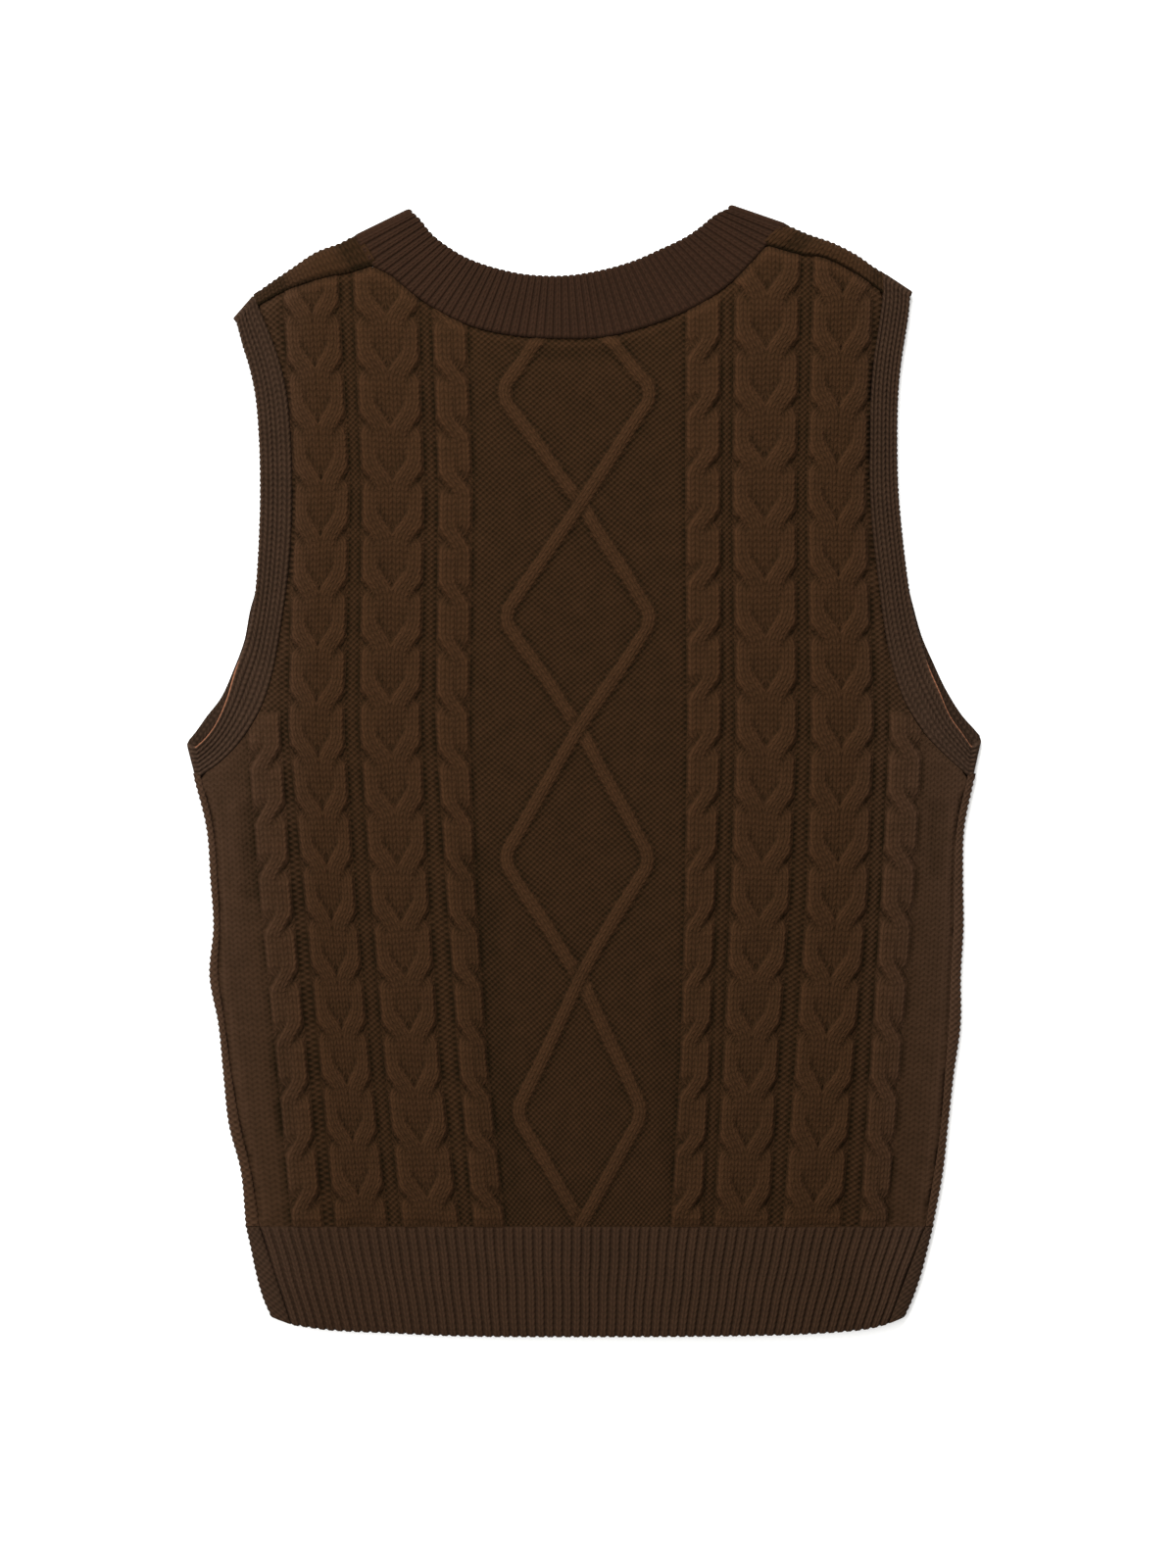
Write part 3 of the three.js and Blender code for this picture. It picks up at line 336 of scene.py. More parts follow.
COLUMN_HEIGHTS = (60, 151, 246, 337, 467, 600)
SIDE_TOP = 352.0  # where the outer ropes end
CABLES = (
    Cable(
        2, -1, 67.1, 30.35, (-152.4, -161.2, -170.4, -177, -179, -180), (8.8, 8.6, 9, 9.4, 9.4, 9.4), SIDE_TOP
    ),
    Cable(
        4, 0, 68.4, 30.35, (-122.6, -131.9, -140.6, -147.8, -144.6, -152), (14.6, 13.7, 14, 15.4, 15.4, 15.4)
    ),
    Cable(
        4, 0, 68.4, 30.35, (-84.4, -94.9, -102, -107, -105.4, -110.5), (15.8, 15.1, 15.8, 16.8, 17.2, 17.8)
    ),
    Cable(2, 1, 67.1, 30.35, (-52.4, -61.4, -68, -72.8, -71, -76), (8.8, 8, 8.2, 9.3, 9.5, 9.5)),
    Cable(2, -1, 65.7, 31.37, (56, 60.9, 63.8, 66, 65.3, 65.3), (8.6, 8.2, 8.5, 9.5, 9.8, 9.5)),
    Cable(4, 0, 63.9, 31.37, (86.4, 91.4, 97, 100.2, 99, 101), (15.2, 15.1, 16.2, 16.8, 17.6, 18)),
    Cable(4, 0, 63.9, 31.37, (125.2, 132, 139.2, 142, 138.6, 143), (16.2, 16, 16.9, 17.4, 16.2, 16.7)),
    Cable(2, 1, 65.7, 31.37, (159, 165.8, 172.6, 177.4, 177, 178), (7.6, 8.4, 9.1, 9.4, 9.4, 9.4), SIDE_TOP),
)

# The two travelling cords that cross and part again to make the diamonds
DIAMONDS = Table.of(
    "up first second",
    (58, 1.5, -4.3),
    (122.8, -38, 32.4),
    (197.6, -2.4, -2.4),
    (263.8, 36.8, -45),
    (334.8, -3, -3),
    (395.5, -45, 37.8),
    (459.5, -1.9, -1.9),
    (519.5, 38.4, -46.6),
    (566, -1, -15.4),
)


@dataclass(frozen=True)
class Crease:
    """A soft ridge or, where its rise is negative, a soft trough between two places.

    Attributes:
        start: one end, across and up.
        end: the other end.
        reach: how far it reaches to either side.
        rise: its height on the line between the ends.
    """

    start: Pair
    end: Pair
    reach: float
    rise: float

    def lift(self, x: np.ndarray, up: np.ndarray) -> np.ndarray:
        """Rise at places: full on the line, eased out to nothing at the reach beside it.

        Args:
            x: places across.
            up: places up.

        Returns:
            The rise, shaped as x.
        """
        (x0, up0), (dx, dup) = self.start, np.subtract(self.end, self.start)
        onto = np.clip(((x - x0) * dx + (up - up0) * dup) / (dx * dx + dup * dup), 0, 1)
        aside = np.hypot(x - x0 - onto * dx, up - up0 - onto * dup)
        return self.rise * (1 - smooth(aside / self.reach))


CREASES = (
    Crease((-185, 286), (-183, 246), 11, -1.1),
    Crease((-169, 160), (-166, 116), 10, -1.0),
    Crease((-58, 262), (-41, 66), 15, -1.1),
    Crease((195, 290), (196, 258), 9, -0.8),
    Crease((44, 190), (52, 84), 13, -0.7),
    Crease((-193, 290), (-192, 210), 9, 0.7),
    Crease((205, 296), (204, 240), 8, 0.6),
    Crease((-20, 300), (-8, 90), 26, 0.5),
    Crease((112, 420), (122, 240), 24, 0.5),
    Crease((-128, 500), (-120, 330), 24, 0.5),
    Crease((-30, 545), (24, 548), 16, -0.5),
)


@dataclass(frozen=True)
class Outline:
    """A closed outline of straight steps.

    Attributes:
        corners: (n, 2) places in order round it.
        batch: how many places are measured at a time, to save memory.
    """

    corners: np.ndarray
    batch: int = 3000

    def nearest(self, x: np.ndarray, up: np.ndarray) -> tuple[np.ndarray, np.ndarray]:
        """Finds how far inside the outline places lie, and their nearest points on it.

        The distance is the shortest to any step of the outline, counted as negative outside. A
        place is inside where a line from it to the right crosses the outline an odd number of
        times.

        Args:
            x: places across.
            up: places up.

        Returns:
            Depths inside, shaped as x, and nearest points, shaped as x with two numbers each.
        """
        start = self.corners
        end = np.roll(start, -1, axis=0)
        step = end - start
        square = (step**2).sum(1)
        places = np.column_stack([np.ravel(x), np.ravel(up)])
        depths, feet = [], []
        for part in np.array_split(places, len(places) // self.batch + 1):
            offset = part[:, None] - start
            share = np.clip((offset * step).sum(-1) / square, 0, 1)
            foot = start + share[..., None] * step
            gap = np.linalg.norm(part[:, None] - foot, axis=-1)
            best = gap.argmin(1)
            rows = np.arange(len(part))
            spans = (start[:, 1] > part[:, 1:]) != (end[:, 1] > part[:, 1:])
            rise = np.where(step[:, 1] == 0, 1, step[:, 1])
            meets = start[:, 0] + (part[:, 1:] - start[:, 1]) / rise * step[:, 0]
            inside = (spans & (part[:, :1] < meets)).sum(1) % 2 == 1
            depths.append(np.where(inside, 1, -1) * gap[rows, best])
            feet.append(foot[rows, best])
        return np.concatenate(depths).reshape(np.shape(x)), np.vstack(feet).reshape(*np.shape(x), 2)


@dataclass
class Patch:
    """A stretch of a piece's surface.

    Attributes:
        points: (n, 3) places: across, up and z.
        cells: (m, k) point numbers.
        stitches: (m, k, 2) wales across and courses up at each cell's corners.
        plain: (m,) 1 where a cell shows plain stitches and 0 where it shows purl ones.
        painted_light_and_shade: (n,) painted shade at each point, and painted light where it is negative;
        on the back it comes from how far a point lies below what is round it, in millimetres.
    """

    points: np.ndarray
    cells: np.ndarray
    stitches: np.ndarray
    plain: np.ndarray
    painted_light_and_shade: np.ndarray | float = 0.0


def cell_corners(values: np.ndarray) -> np.ndarray:
    """The four corner values of each cell of a grid, in turning order, on the third axis."""
    return np.stack([values[:-1, :-1], values[:-1, 1:], values[1:, 1:], values[1:, :-1]], axis=2)


def grid_cells(rows: int, columns: int, wraps: tuple[bool, bool] = (False, False)) -> np.ndarray:
    """Point numbers of each cell of a grid, which may join up with itself either way.

    Args:
        rows: number of rows of points.
        columns: number of columns of points.
        wraps: whether the rows and the columns join up with themselves.

    Returns:
        (rows, columns, 4) numbers, a row or column fewer where the grid doesn't join up.
    """
    index = np.arange(rows * columns).reshape(rows, columns)
    if wraps[0]:
        index = np.vstack([index, index[:1]])
    if wraps[1]:
        index = np.hstack([index, index[:, :1]])
    return cell_corners(index)


def grid_patch(
    points: np.ndarray, wale: np.ndarray, course: np.ndarray, wraps: tuple[bool, bool]
) -> Patch:
    """A patch of plain stitches on a grid.

    Args:
        points: (rows, columns, 3) places.
        wale: wales across at each point, with one more row or column where the grid joins up.
        course: courses up at each point, shaped as wale.
        wraps: whether the rows and the columns join up with themselves.

    Returns:
        The patch.
    """
    cells = grid_cells(*points.shape[:2], wraps).reshape(-1, 4)
    stitches = cell_corners(np.stack([wale, course], axis=-1)).reshape(-1, 4, 2)
    return Patch(points.reshape(-1, 3), cells, stitches, np.ones(len(cells)))


def band_patch(
    points: np.ndarray, wale: np.ndarray, course: np.ndarray, wraps: tuple[bool, bool]
) -> Patch:
    """A patch of plain stitches on a band, whose counts stay level where it joins up.

    Args:
        points: (rows, columns, 3) places.
        wale: wales across, for each row, each column or each point.
        course: courses up, in the same way.
        wraps: whether the rows and the columns join up with themselves.

    Returns:
        The patch.
    """
    more = [(0, int(wrap)) for wrap in wraps]
    full = (np.broadcast_to(count, points.shape[:2]) for count in (wale, course))
    return grid_patch(points, *(np.pad(count, more, mode="edge") for count in full), wraps)


def at_height(places: np.ndarray, z: float) -> np.ndarray:
    """Places across and up as points that all lie at one height."""
    return np.column_stack([places, np.full(len(places), z)])


def wall_patch(low: np.ndarray, top: np.ndarray) -> Patch:
    """An upright wall one course high, with its wales counted along its top.

    Args:
        low: (n, 3) points of its closed lower ring.
        top: (n, 3) points above them.

    Returns:
        The patch.
    """
    along = run_length(top[:, :2])
    wale = np.append(along, along[-1] + 1) / PURL_WALE
    counts = np.broadcast_arrays(wale, [[0.0], [1.0]])
    return grid_patch(np.stack([low, top]), *counts, (False, True))


def cap_patch(ring: np.ndarray) -> Patch:
    """One face that closes the end of a ring of points."""
    stitches = np.full((1, len(ring), 2), 0.5)
    return Patch(ring, np.arange(len(ring))[None], stitches, np.ones(1))


def filled_patch(
    outline: np.ndarray, height: Callable[[np.ndarray, np.ndarray], np.ndarray], spacing: float = 12.0
) -> Patch:
    """Triangles that fill an outline.

    A Delaunay triangulation keeps the outline's steps as its edges, and an even grid of points
    inside keeps the triangles small enough to follow the height.

    Args:
        outline: (n, 2) corners.
        height: gives z at places across and up.
        spacing: distance between the points inside.

    Returns:
        The patch.
    """
    low, high = outline.min(0), outline.max(0)
    across, up = np.meshgrid(*(np.arange(low[i], high[i], spacing) for i in range(2)))
    depth, _ = Outline(outline).nearest(across, up)
    inner = np.column_stack([across[depth > spacing / 3], up[depth > spacing / 3]])
    places = np.vstack([outline, inner])
    corners = np.arange(len(outline))
    edges = np.column_stack([corners, np.roll(corners, -1)])
    found, _, faces, *_ = delaunay_2d_cdt(places.tolist(), edges.tolist(), [], 1, NEAR)
    flat = np.array([tuple(place) for place in found])
    cells = np.array(faces)
    points = np.column_stack([flat, height(flat[:, 0], flat[:, 1])])
    stitches = flat[cells] / (PURL_WALE, COURSE)
    return Patch(points, cells, stitches, np.ones(len(cells)))


def knit_piece(name: str, patches: list[Patch], material: bpy.types.Material) -> bpy.types.Object:
    """Joins patches into one closed piece whose faces point outwards.

    Args:
        name: name of the object and its mesh.
        patches: stretches of the surface, whose borders meet.
        material: its finish.

    Returns:
        The new object, with its place in its mesh.
    """
    starts = np.cumsum([0] + [len(patch.points) for patch in patches])
    points = np.vstack([patch.points for patch in patches])
    numbers = [(patch.cells + start).tolist() for start, patch in zip(starts, patches)]
    faces = [cell for cells in numbers for cell in cells]
    mesh = bpy.data.meshes.new(name)
    mesh.from_pydata((points - (0, LENGTH / 2, 0)) * MM, [], faces)
    stitches = np.concatenate([patch.stitches.ravel() for patch in patches])
    mesh.uv_layers.new(name="stitches").data.foreach_set("uv", stitches.astype(np.float32))
    plain = np.concatenate([patch.plain for patch in patches]).astype(np.float32)
    mesh.attributes.new("plain", "FLOAT", "FACE").data.foreach_set("value", plain)
    # Each point's painted shade, and painted light where it is negative, goes to the material as an
    # attribute.
    painted_light_and_shade = np.concatenate([np.broadcast_to(patch.painted_light_and_shade, len(patch.points)) for patch in patches])
    painted_light_and_shade = painted_light_and_shade.astype(np.float32)
    mesh.attributes.new("painted_light_and_shade", "FLOAT", "POINT").data.foreach_set("value", painted_light_and_shade)
    shell = bmesh.new()
    shell.from_mesh(mesh)
    bmesh.ops.remove_doubles(shell, verts=shell.verts, dist=WELD)
    bmesh.ops.recalc_face_normals(shell, faces=shell.faces)
    shell.to_mesh(mesh)
    shell.free()
    mesh.polygons.foreach_set("use_smooth", np.ones(len(mesh.polygons), bool))
    mesh.set_sharp_from_angle(angle=SHARP)
    mesh.materials.append(material)
    piece = bpy.data.objects.new(name, mesh)
    bpy.context.scene.collection.objects.link(piece)
    return piece


def blurred(values: np.ndarray, reach: int) -> np.ndarray:
    """Mean of a grid's values over a square of cells, which is held at the grid's sides.

    Args:
        values: (rows, columns) numbers.
        reach: how many cells the square reaches each way.

    Returns:
        The means, shaped as values.
    """
    side = 2 * reach + 1
    for axis in (0, 1):
        margins = [(0, 0), (0, 0)]
        margins[axis] = (reach + 1, reach)
        total = np.cumsum(np.pad(values, margins, mode="edge"), axis=axis)
        length = total.shape[axis]
        ends = total.take(range(side, length), axis=axis)
        starts = total.take(range(length - side), axis=axis)
        values = (ends - starts) / side
    return values


def dome(distance: np.ndarray, fullness: float) -> np.ndarray:
    """Rounded height across a strand: the root of one less a power of the distance."""
    return np.sqrt(np.clip(1 - np.abs(distance) ** fullness, 0, 1))


@dataclass(frozen=True)
class CableChart:
    """Where the strands of the back's cables and cords run, and how high they stand.

    At a crossing an upper strand and a lower one change places. The starts and lengths of their
    moves are shares of the cable's repeat.

    Attributes:
        wide_upper: start and length of the move of the upper strand's far edge in a wide cable,
            and then those of its near edge.
        wide_lower: the same for the lower strand.
        rope_upper: start and length of the upper strand's move in a rope.
        rope_lower: the same for the lower strand.
        overlap: how far strands reach into each other, as a share of the half width.
        rope_within: how far a rope's strands swing to a side, as the same share.
        rope_reach: half the width of a rope's strand, as the same share.
        fullness: power that gives a strand its square section.
        cable_rise: height that a strand's other heights are shares of.
        level: height of a strand between crossings.
        upper_heave: how long the upper strand heaves up in a wide cable and in a rope, as shares
            of the repeat, and how much.
        lower_heave: the same for the lower strand, which dips.
        round_edge: width in which a cable's side comes up.
        cord_rise: height of a cord.
        cord_width: its width.
        cord_turn: height over which its turns are rounded.
        cord_fullness: power that gives it its section.
        channel_depth: how far the ground sinks beside a cable.
        channel_reach: how far from the cable it does so.
        channel_end: distance from the middle of the vest where it no longer does.
        fade: height over which the outer ropes end.
        lean: how far courses turn square to a strand that slants.
    """

    wide_upper: tuple[float, float, float, float] = (0.08, 0.5, 0.24, 0.54)
    wide_lower: tuple[float, float, float, float] = (0.0, 0.6, 0.1, 0.36)
    rope_upper: Pair = (0.0, 0.56)
    rope_lower: Pair = (0.03, 0.5)
    overlap: float = 0.04
    rope_within: float = 0.45
    rope_reach: float = 0.57
    fullness: float = 8.0
    cable_rise: float = 2.8
    level: float = 0.78
    upper_heave: tuple[float, float, float] = (0.9, 0.84, 0.24)
    lower_heave: tuple[float, float, float] = (1.0, 0.56, -0.52)
    round_edge: float = 1.5
    cord_rise: float = 1.6
    cord_width: float = 7.5
    cord_turn: float = 5.0
    cord_fullness: float = 2.6
    channel_depth: float = 0.4
    channel_reach: float = 6.0
    channel_end: float = 170.0
    fade: float = 16.0
    lean: float = 0.55

    def columns(self, up: np.ndarray) -> tuple[np.ndarray, np.ndarray]:
        """Middles and half widths of all the columns.

        Args:
            up: heights.

        Returns:
            Middles and half widths, both with the columns first and then shaped as up.
        """
        heights = COLUMN_HEIGHTS
        middles = np.stack([np.interp(up, heights, cable.middles) for cable in CABLES])
        halves = np.stack([np.interp(up, heights, cable.halves) for cable in CABLES])
        return middles, halves

    def edges(
        self, strands: np.ndarray, over: np.ndarray, phase: np.ndarray, upper: np.ndarray
    ) -> tuple[np.ndarray, np.ndarray]:
        """Near and far edges of the upper or lower strand, as shares of the column's half width.

        In a wide cable they are measured outwards from its middle. Going up, the upper strand's
        far edge swings from the half out to the side and its near edge follows from the middle
        to the half, so that it is broadest as it crosses. The lower strand goes back the same
        way. In a rope the two strands change sides, and edges are measured to the right.

        Args:
            strands: 4 for a wide cable and 2 for a rope.
            over: way of a rope's upper strand.
            phase: share of the repeat above the start of the last crossing.
            upper: whether the upper strand is asked for.

        Returns:
            The near and the far edge.
        """
        far, near = (
            np.where(
                upper,
                smooth((phase - self.wide_upper[i]) / self.wide_upper[i + 1]),
                1 - smooth((phase - self.wide_lower[i]) / self.wide_lower[i + 1]),
            )
            for i in (0, 2)
        )
        travel = np.where(
            upper,
            smooth((phase - self.rope_upper[0]) / self.rope_upper[1]),
            smooth((phase - self.rope_lower[0]) / self.rope_lower[1]),
        )
        rope = over * self.rope_within * (1 - 2 * travel) * np.where(upper, 1, -1)
        wide = strands == 4
        return (
            np.where(wide, near / 2 - self.overlap, rope - self.rope_reach),
            np.where(wide, np.minimum((1 + far) / 2 + self.overlap, 1), rope + self.rope_reach),
        )

    def centre(
        self, strands: np.ndarray, over: np.ndarray, phase: np.ndarray, upper: np.ndarray
    ) -> np.ndarray:
        """Middle of the upper or lower strand, as a share of the column's half width."""
        near, far = self.edges(strands, over, phase, upper)
        return (near + far) / 2

    def cord(self, name: str, up: np.ndarray) -> np.ndarray:
        """Where a cord of the diamonds runs: the mean of three heights, which rounds its turns.

        Args:
            name: its column in the table.
            up: heights.

        Returns:
            Places across, shaped as up.
        """
        heights, places = DIAMONDS.column("up"), DIAMONDS.column(name)
        shifts = (-self.cord_turn, 0, self.cord_turn)
        return sum(np.interp(up + shift, heights, places) for shift in shifts) / len(shifts)

    def cord_parts(self, name: str, x: np.ndarray, up: np.ndarray) -> tuple[np.ndarray, np.ndarray]:
        """How far places lie from a cord's middle.

        Args:
            name: its column in the table.
            x: places across.
            up: places up.

        Returns:
            Distances in half widths, and the cord's slope, both shaped as x.
        """
        slope = (self.cord(name, up + 1) - self.cord(name, up - 1)) / 2
        half = self.cord_width / 2 * np.hypot(1, slope)
        return (x - self.cord(name, up)) / half, slope

    def cord_heights(self, x: np.ndarray, up: np.ndarray) -> np.ndarray:
        """Heights of both cords, of which the one that rises to the right lies on top.

        Args:
            x: places across.
            up: places up.

        Returns:
            Heights, cords first and then shaped as x.
        """
        parts = [self.cord_parts(name, x, up) for name in ("first", "second")]
        heights = []
        for (place, slope), (other, _) in (parts, parts[::-1]):
            below = 0.1 + 0.9 * smooth((np.abs(other) - 0.7) / 1.5)
            heights.append(dome(place, self.cord_fullness) * np.where(slope <= 0, below, 1))
        return self.cord_rise * np.stack(heights)

    def column_of(self, x: np.ndarray, up: np.ndarray) -> tuple[np.ndarray, ...]:
        """Finds the column that each place is nearest to.

        Args:
            x: places across.
            up: places up.

        Returns:
            Numbers of the columns, their middles and half widths, and the places in them, where
            -1 and 1 are a column's sides.
        """
        middles, halves = self.columns(up)
        which = (np.abs(x - middles) / halves).argmin(0)
        middle, half = (np.take_along_axis(table, which[None], 0)[0] for table in (middles, halves))
        return which, middle, half, (x - middle) / half

    def facts(self, which: np.ndarray) -> tuple[np.ndarray, ...]:
        """Strands, way over, first crossing, repeat and top of given columns."""
        names = ("strands", "over", "first", "repeat", "top")
        return tuple(np.array([getattr(cable, name) for cable in CABLES])[which] for name in names)

    def strand_heights(self, x: np.ndarray, up: np.ndarray) -> tuple[np.ndarray, np.ndarray]:
        """Heights of the upper and lower strands of a place's own column.

        Each strand is a dome across its width. The upper one heaves up while it travels, and
        the lower one dips, as half a wave of a sine.

        Args:
            x: places across.
            up: places up.

        Returns:
            Heights of the upper and of the lower strand, shaped as x.
        """
        which, _, half, place = self.column_of(x, up)
        strands, over, first, repeat, top = self.facts(which)
        phase = (up - first) / repeat % 1
        here = np.where(strands == 4, np.abs(place), place)
        heights = []
        for upper, (wide, rope, change) in ((True, self.upper_heave), (False, self.lower_heave)):
            length = np.where(strands == 4, wide, rope)
            heave = self.level + change * np.sin(np.pi * np.clip(phase / length, 0, 1))
            near, far = self.edges(strands, over, phase, np.bool_(upper))
            heights.append(dome((2 * here - near - far) / (far - near), self.fullness) * heave)
        edge = smooth((1 - np.abs(place)) * half / self.round_edge)
        within = np.sqrt(edge) * smooth((top - up) / self.fade)
        return self.cable_rise * heights[0] * within, self.cable_rise * heights[1] * within

    def relief(self, x: np.ndarray, up: np.ndarray) -> np.ndarray:
        """Height of cables and cords above the ground, which sinks a little beside a cable.

        Args:
            x: places across.
            up: places up.

        Returns:
            Heights, shaped as x.
        """
        _, _, half, place = self.column_of(x, up)
        beside = (np.abs(place) - 1) * half / self.channel_reach
        channel = self.channel_depth * (1 - smooth(beside)) * (np.abs(x) < self.channel_end)
        strand = np.maximum(*self.strand_heights(x, up))
        cord = self.cord_heights(x, up).max(0)
        edge = smooth((1 - np.abs(place)) * half / self.round_edge)
        return np.maximum(strand, cord) - channel * (1 - edge)

    def stitches(self, x: np.ndarray, up: np.ndarray, ground: np.ndarray) -> tuple[np.ndarray, ...]:
        """Wales and courses at the corners of cells, which follow the strand on top.

        On a strand the wales are counted across it, two to a strand, and the courses turn part
        of the way square to it. Elsewhere wales stand with the columns and courses are level.

        Args:
            x: (rows, columns, 4) corners across.
            up: the same corners' heights.
            ground: their wales on the ground.

        Returns:
            Wales and courses, shaped as x with two numbers each, and 1 for each cell that shows
            plain stitches, else 0.
        """
        x0, up0 = x.mean(-1), up.mean(-1)
        which, _, _, place = self.column_of(x0, up0)
        strands, over, first, repeat, top = (fact[..., None] for fact in self.facts(which))
        high, low = self.strand_heights(x0, up0)
        upper = (high >= low)[..., None]
        middles, halves = self.columns(up)
        middle, half = (
            np.take_along_axis(table, np.broadcast_to(which[None, ..., None], table.shape), 0)[0]
            for table in (middles, halves)
        )
        phase = (up - first) / repeat - np.floor((up0[..., None] - first) / repeat)
        side = np.where(strands == 4, np.sign(place)[..., None], 1)
        centre = self.centre(strands, over, phase, upper)
        step = 0.02
        turn = self.centre(strands, over, phase + step, upper) - centre
        slope = turn / step * side * half / repeat
        aside = x - middle - side * centre * half
        wale = aside * side / half * strands
        course = (up + self.lean * slope * aside) / COURSE
        on_cable = (np.abs(place)[..., None] < 1) & (up0[..., None] < top - self.fade / 2)
        cords = self.cord_heights(x0, up0)
        on_cord = (cords.max(0) > 0.1) & ~on_cable[..., 0]
        for number, name in enumerate(("first", "second")):
            here = (on_cord & (cords.argmax(0) == number))[..., None]
            across, bend = self.cord_parts(name, x, up)
            wale = np.where(here, across, wale)
            course = np.where(here, (up + self.lean * bend * (x - self.cord(name, up))) / COURSE, course)
        plain = on_cable[..., 0] | on_cord
        wale = np.where(plain[..., None], wale, ground / PURL_WALE)
        course = np.where(plain[..., None], course, up / PURL_COURSE)
        return np.stack([wale, course], axis=-1), plain.astype(float)


@dataclass(frozen=True)
class Rungs:
    """Stations along a band, from its free edge to its seam.

    Attributes:
        edge: (n, 2) places on the free edge.
        seam: (n, 2) places on the seam.
        fold: (n,) 0 on the back, pi on the front, and between them where the band turns over.
        out: (n, 2) way out of the vest at a fold.
        count: (n,) ribs or courses counted along the band.
    """

    edge: np.ndarray
    seam: np.ndarray
    fold: np.ndarray
    out: np.ndarray
    count: np.ndarray

    @classmethod
    def level(cls, edge: np.ndarray, seam: np.ndarray, fold: float, count: np.ndarray) -> "Rungs":
        """Stations that all lie in one layer."""
        return cls(edge, seam, np.full(len(edge), fold), np.zeros_like(edge), count)

    def turn(self, steps: int, each: float, onto: "Rungs") -> "Rungs":
        """Stations that turn the band over, outwards, from the last rung to another row's first.

        The fold goes on by even steps, and edge and seam go straight from the one to the other.

        Args:
            steps: number of steps in the turn.
            each: what the count goes on by at a step.
            onto: the stations that follow.

        Returns:
            The stations between the two rows.
        """
        line = self.seam[-1] - self.edge[-1]
        out = np.array([-line[1], line[0]]) / np.linalg.norm(line)
        if out @ (self.edge[-1] - self.edge[-2]) < 0:
            out = -out
        share = np.arange(1, steps) / steps
        start = self.fold[-1]
        way = share[:, None]
        return Rungs(
            self.edge[-1:] * (1 - way) + onto.edge[:1] * way,
            self.seam[-1:] * (1 - way) + onto.seam[:1] * way,
            start + (np.pi - 2 * start) * share,
            out * np.ones((steps - 1, 1)),
            self.count[-1] + np.arange(1, steps) * each,
        )

    def joined(self, *others: "Rungs") -> "Rungs":
        """These stations and others behind them."""
        names = ("edge", "seam", "fold", "out", "count")
        parts = [self, *others]
        return Rungs(*(np.concatenate([getattr(part, name) for part in parts]) for name in names))

    def ring(self, front: "Rungs", turns: int, each: float) -> "Rungs":
        """These stations, the front's, and the turns at both folds between them."""
        return self.joined(self.turn(turns, each, front), front, front.turn(turns, each, self))

    def showing(self) -> np.ndarray:
        """How much relief each station has: all on the back, and none from halfway round a fold."""
        return smooth(1.3 * (1 - 2 * self.fold / np.pi))[:, None]

    def widths(self) -> np.ndarray:
        """Distance from edge to seam at each station."""
        return np.linalg.norm(self.seam - self.edge, axis=1)

    def cut(self, width: float) -> Cut:
        """Width, length and area of a band of this width, as long as the line along its middle."""
        length = float(run_length((self.edge + self.seam) / 2)[-1])
        return (width, length), width * length

    def surface(self, share: np.ndarray, depth: np.ndarray) -> np.ndarray:
        """Points of the band.

        A point lies on the line from edge to seam by its share, at its depth from the inner
        face: above it on the back, below it on the front, and out from it at a fold.

        Args:
            share: (n, k) shares of the way from edge to seam.
            depth: (n, k) depths.

        Returns:
            (n, k, 3) points.
        """
        radius = INNER_RADIUS + depth
        flat = self.edge[:, None] + (self.seam - self.edge)[:, None] * share[..., None]
        flat = flat + self.out[:, None] * (radius * np.sin(self.fold)[:, None])[..., None]
        z = BAND_MIDDLE + radius * np.cos(self.fold)[:, None]
        return np.concatenate([flat, z[..., None]], axis=-1)


def rib_height(count: np.ndarray, valley: float = 0.62, dent: float = 0.14) -> np.ndarray:
    """Height across ribs, 1 on a crest and 0 in a groove.

    It rises from the groove at each whole number to a broad crest between, with a slight dent
    where the two legs of the stitch meet.

    Args:
        count: place across the ribs.
        valley: share of half a rib in which it rises.
        dent: depth of the dent.

    Returns:
        Heights, shaped as count.
    """
    off = np.abs(2 * (count % 1) - 1)
    return smooth((1 - off) / valley) - dent * np.exp(-((off / 0.2) ** 2))


# Round a band from its seam along the inner side and back along the outer side: share of the way
# from the free edge to the seam, and share of the wall
EDGE_ROUND = ((0.03, 0.0), (0.006, 0.2), (0.0, 0.5), (0.01, 0.8), (0.035, 0.96))
SEAM_ROUND = ((0.955, 1.0), (0.985, 0.9), (1.0, 0.62))


def band_profile(steps: int, seam: tuple[Pair, ...] = SEAM_ROUND) -> tuple[np.ndarray, np.ndarray]:
    """Shares and depths round a band's section.

    Args:
        steps: number of steps on its outer side.
        seam: the points with which the outer side ends at the seam.

    Returns:
        Shares of the way from the free edge to the seam, and shares of the wall.
    """
    inner = ((1.0, 0.0), (0.66, 0.0), (0.33, 0.0))
    outer = tuple((share, 1.0) for share in np.linspace(0.07, 0.92, steps))
    rows = np.array(inner + EDGE_ROUND + outer + seam)
    return rows[:, 0], rows[:, 1]


class Layer(Enum):
    """What a piece lies on."""

    FLOOR = "floor"
    FRONT = "front_panel_knit"
    FRONT_HEM = "front_hem_knit"


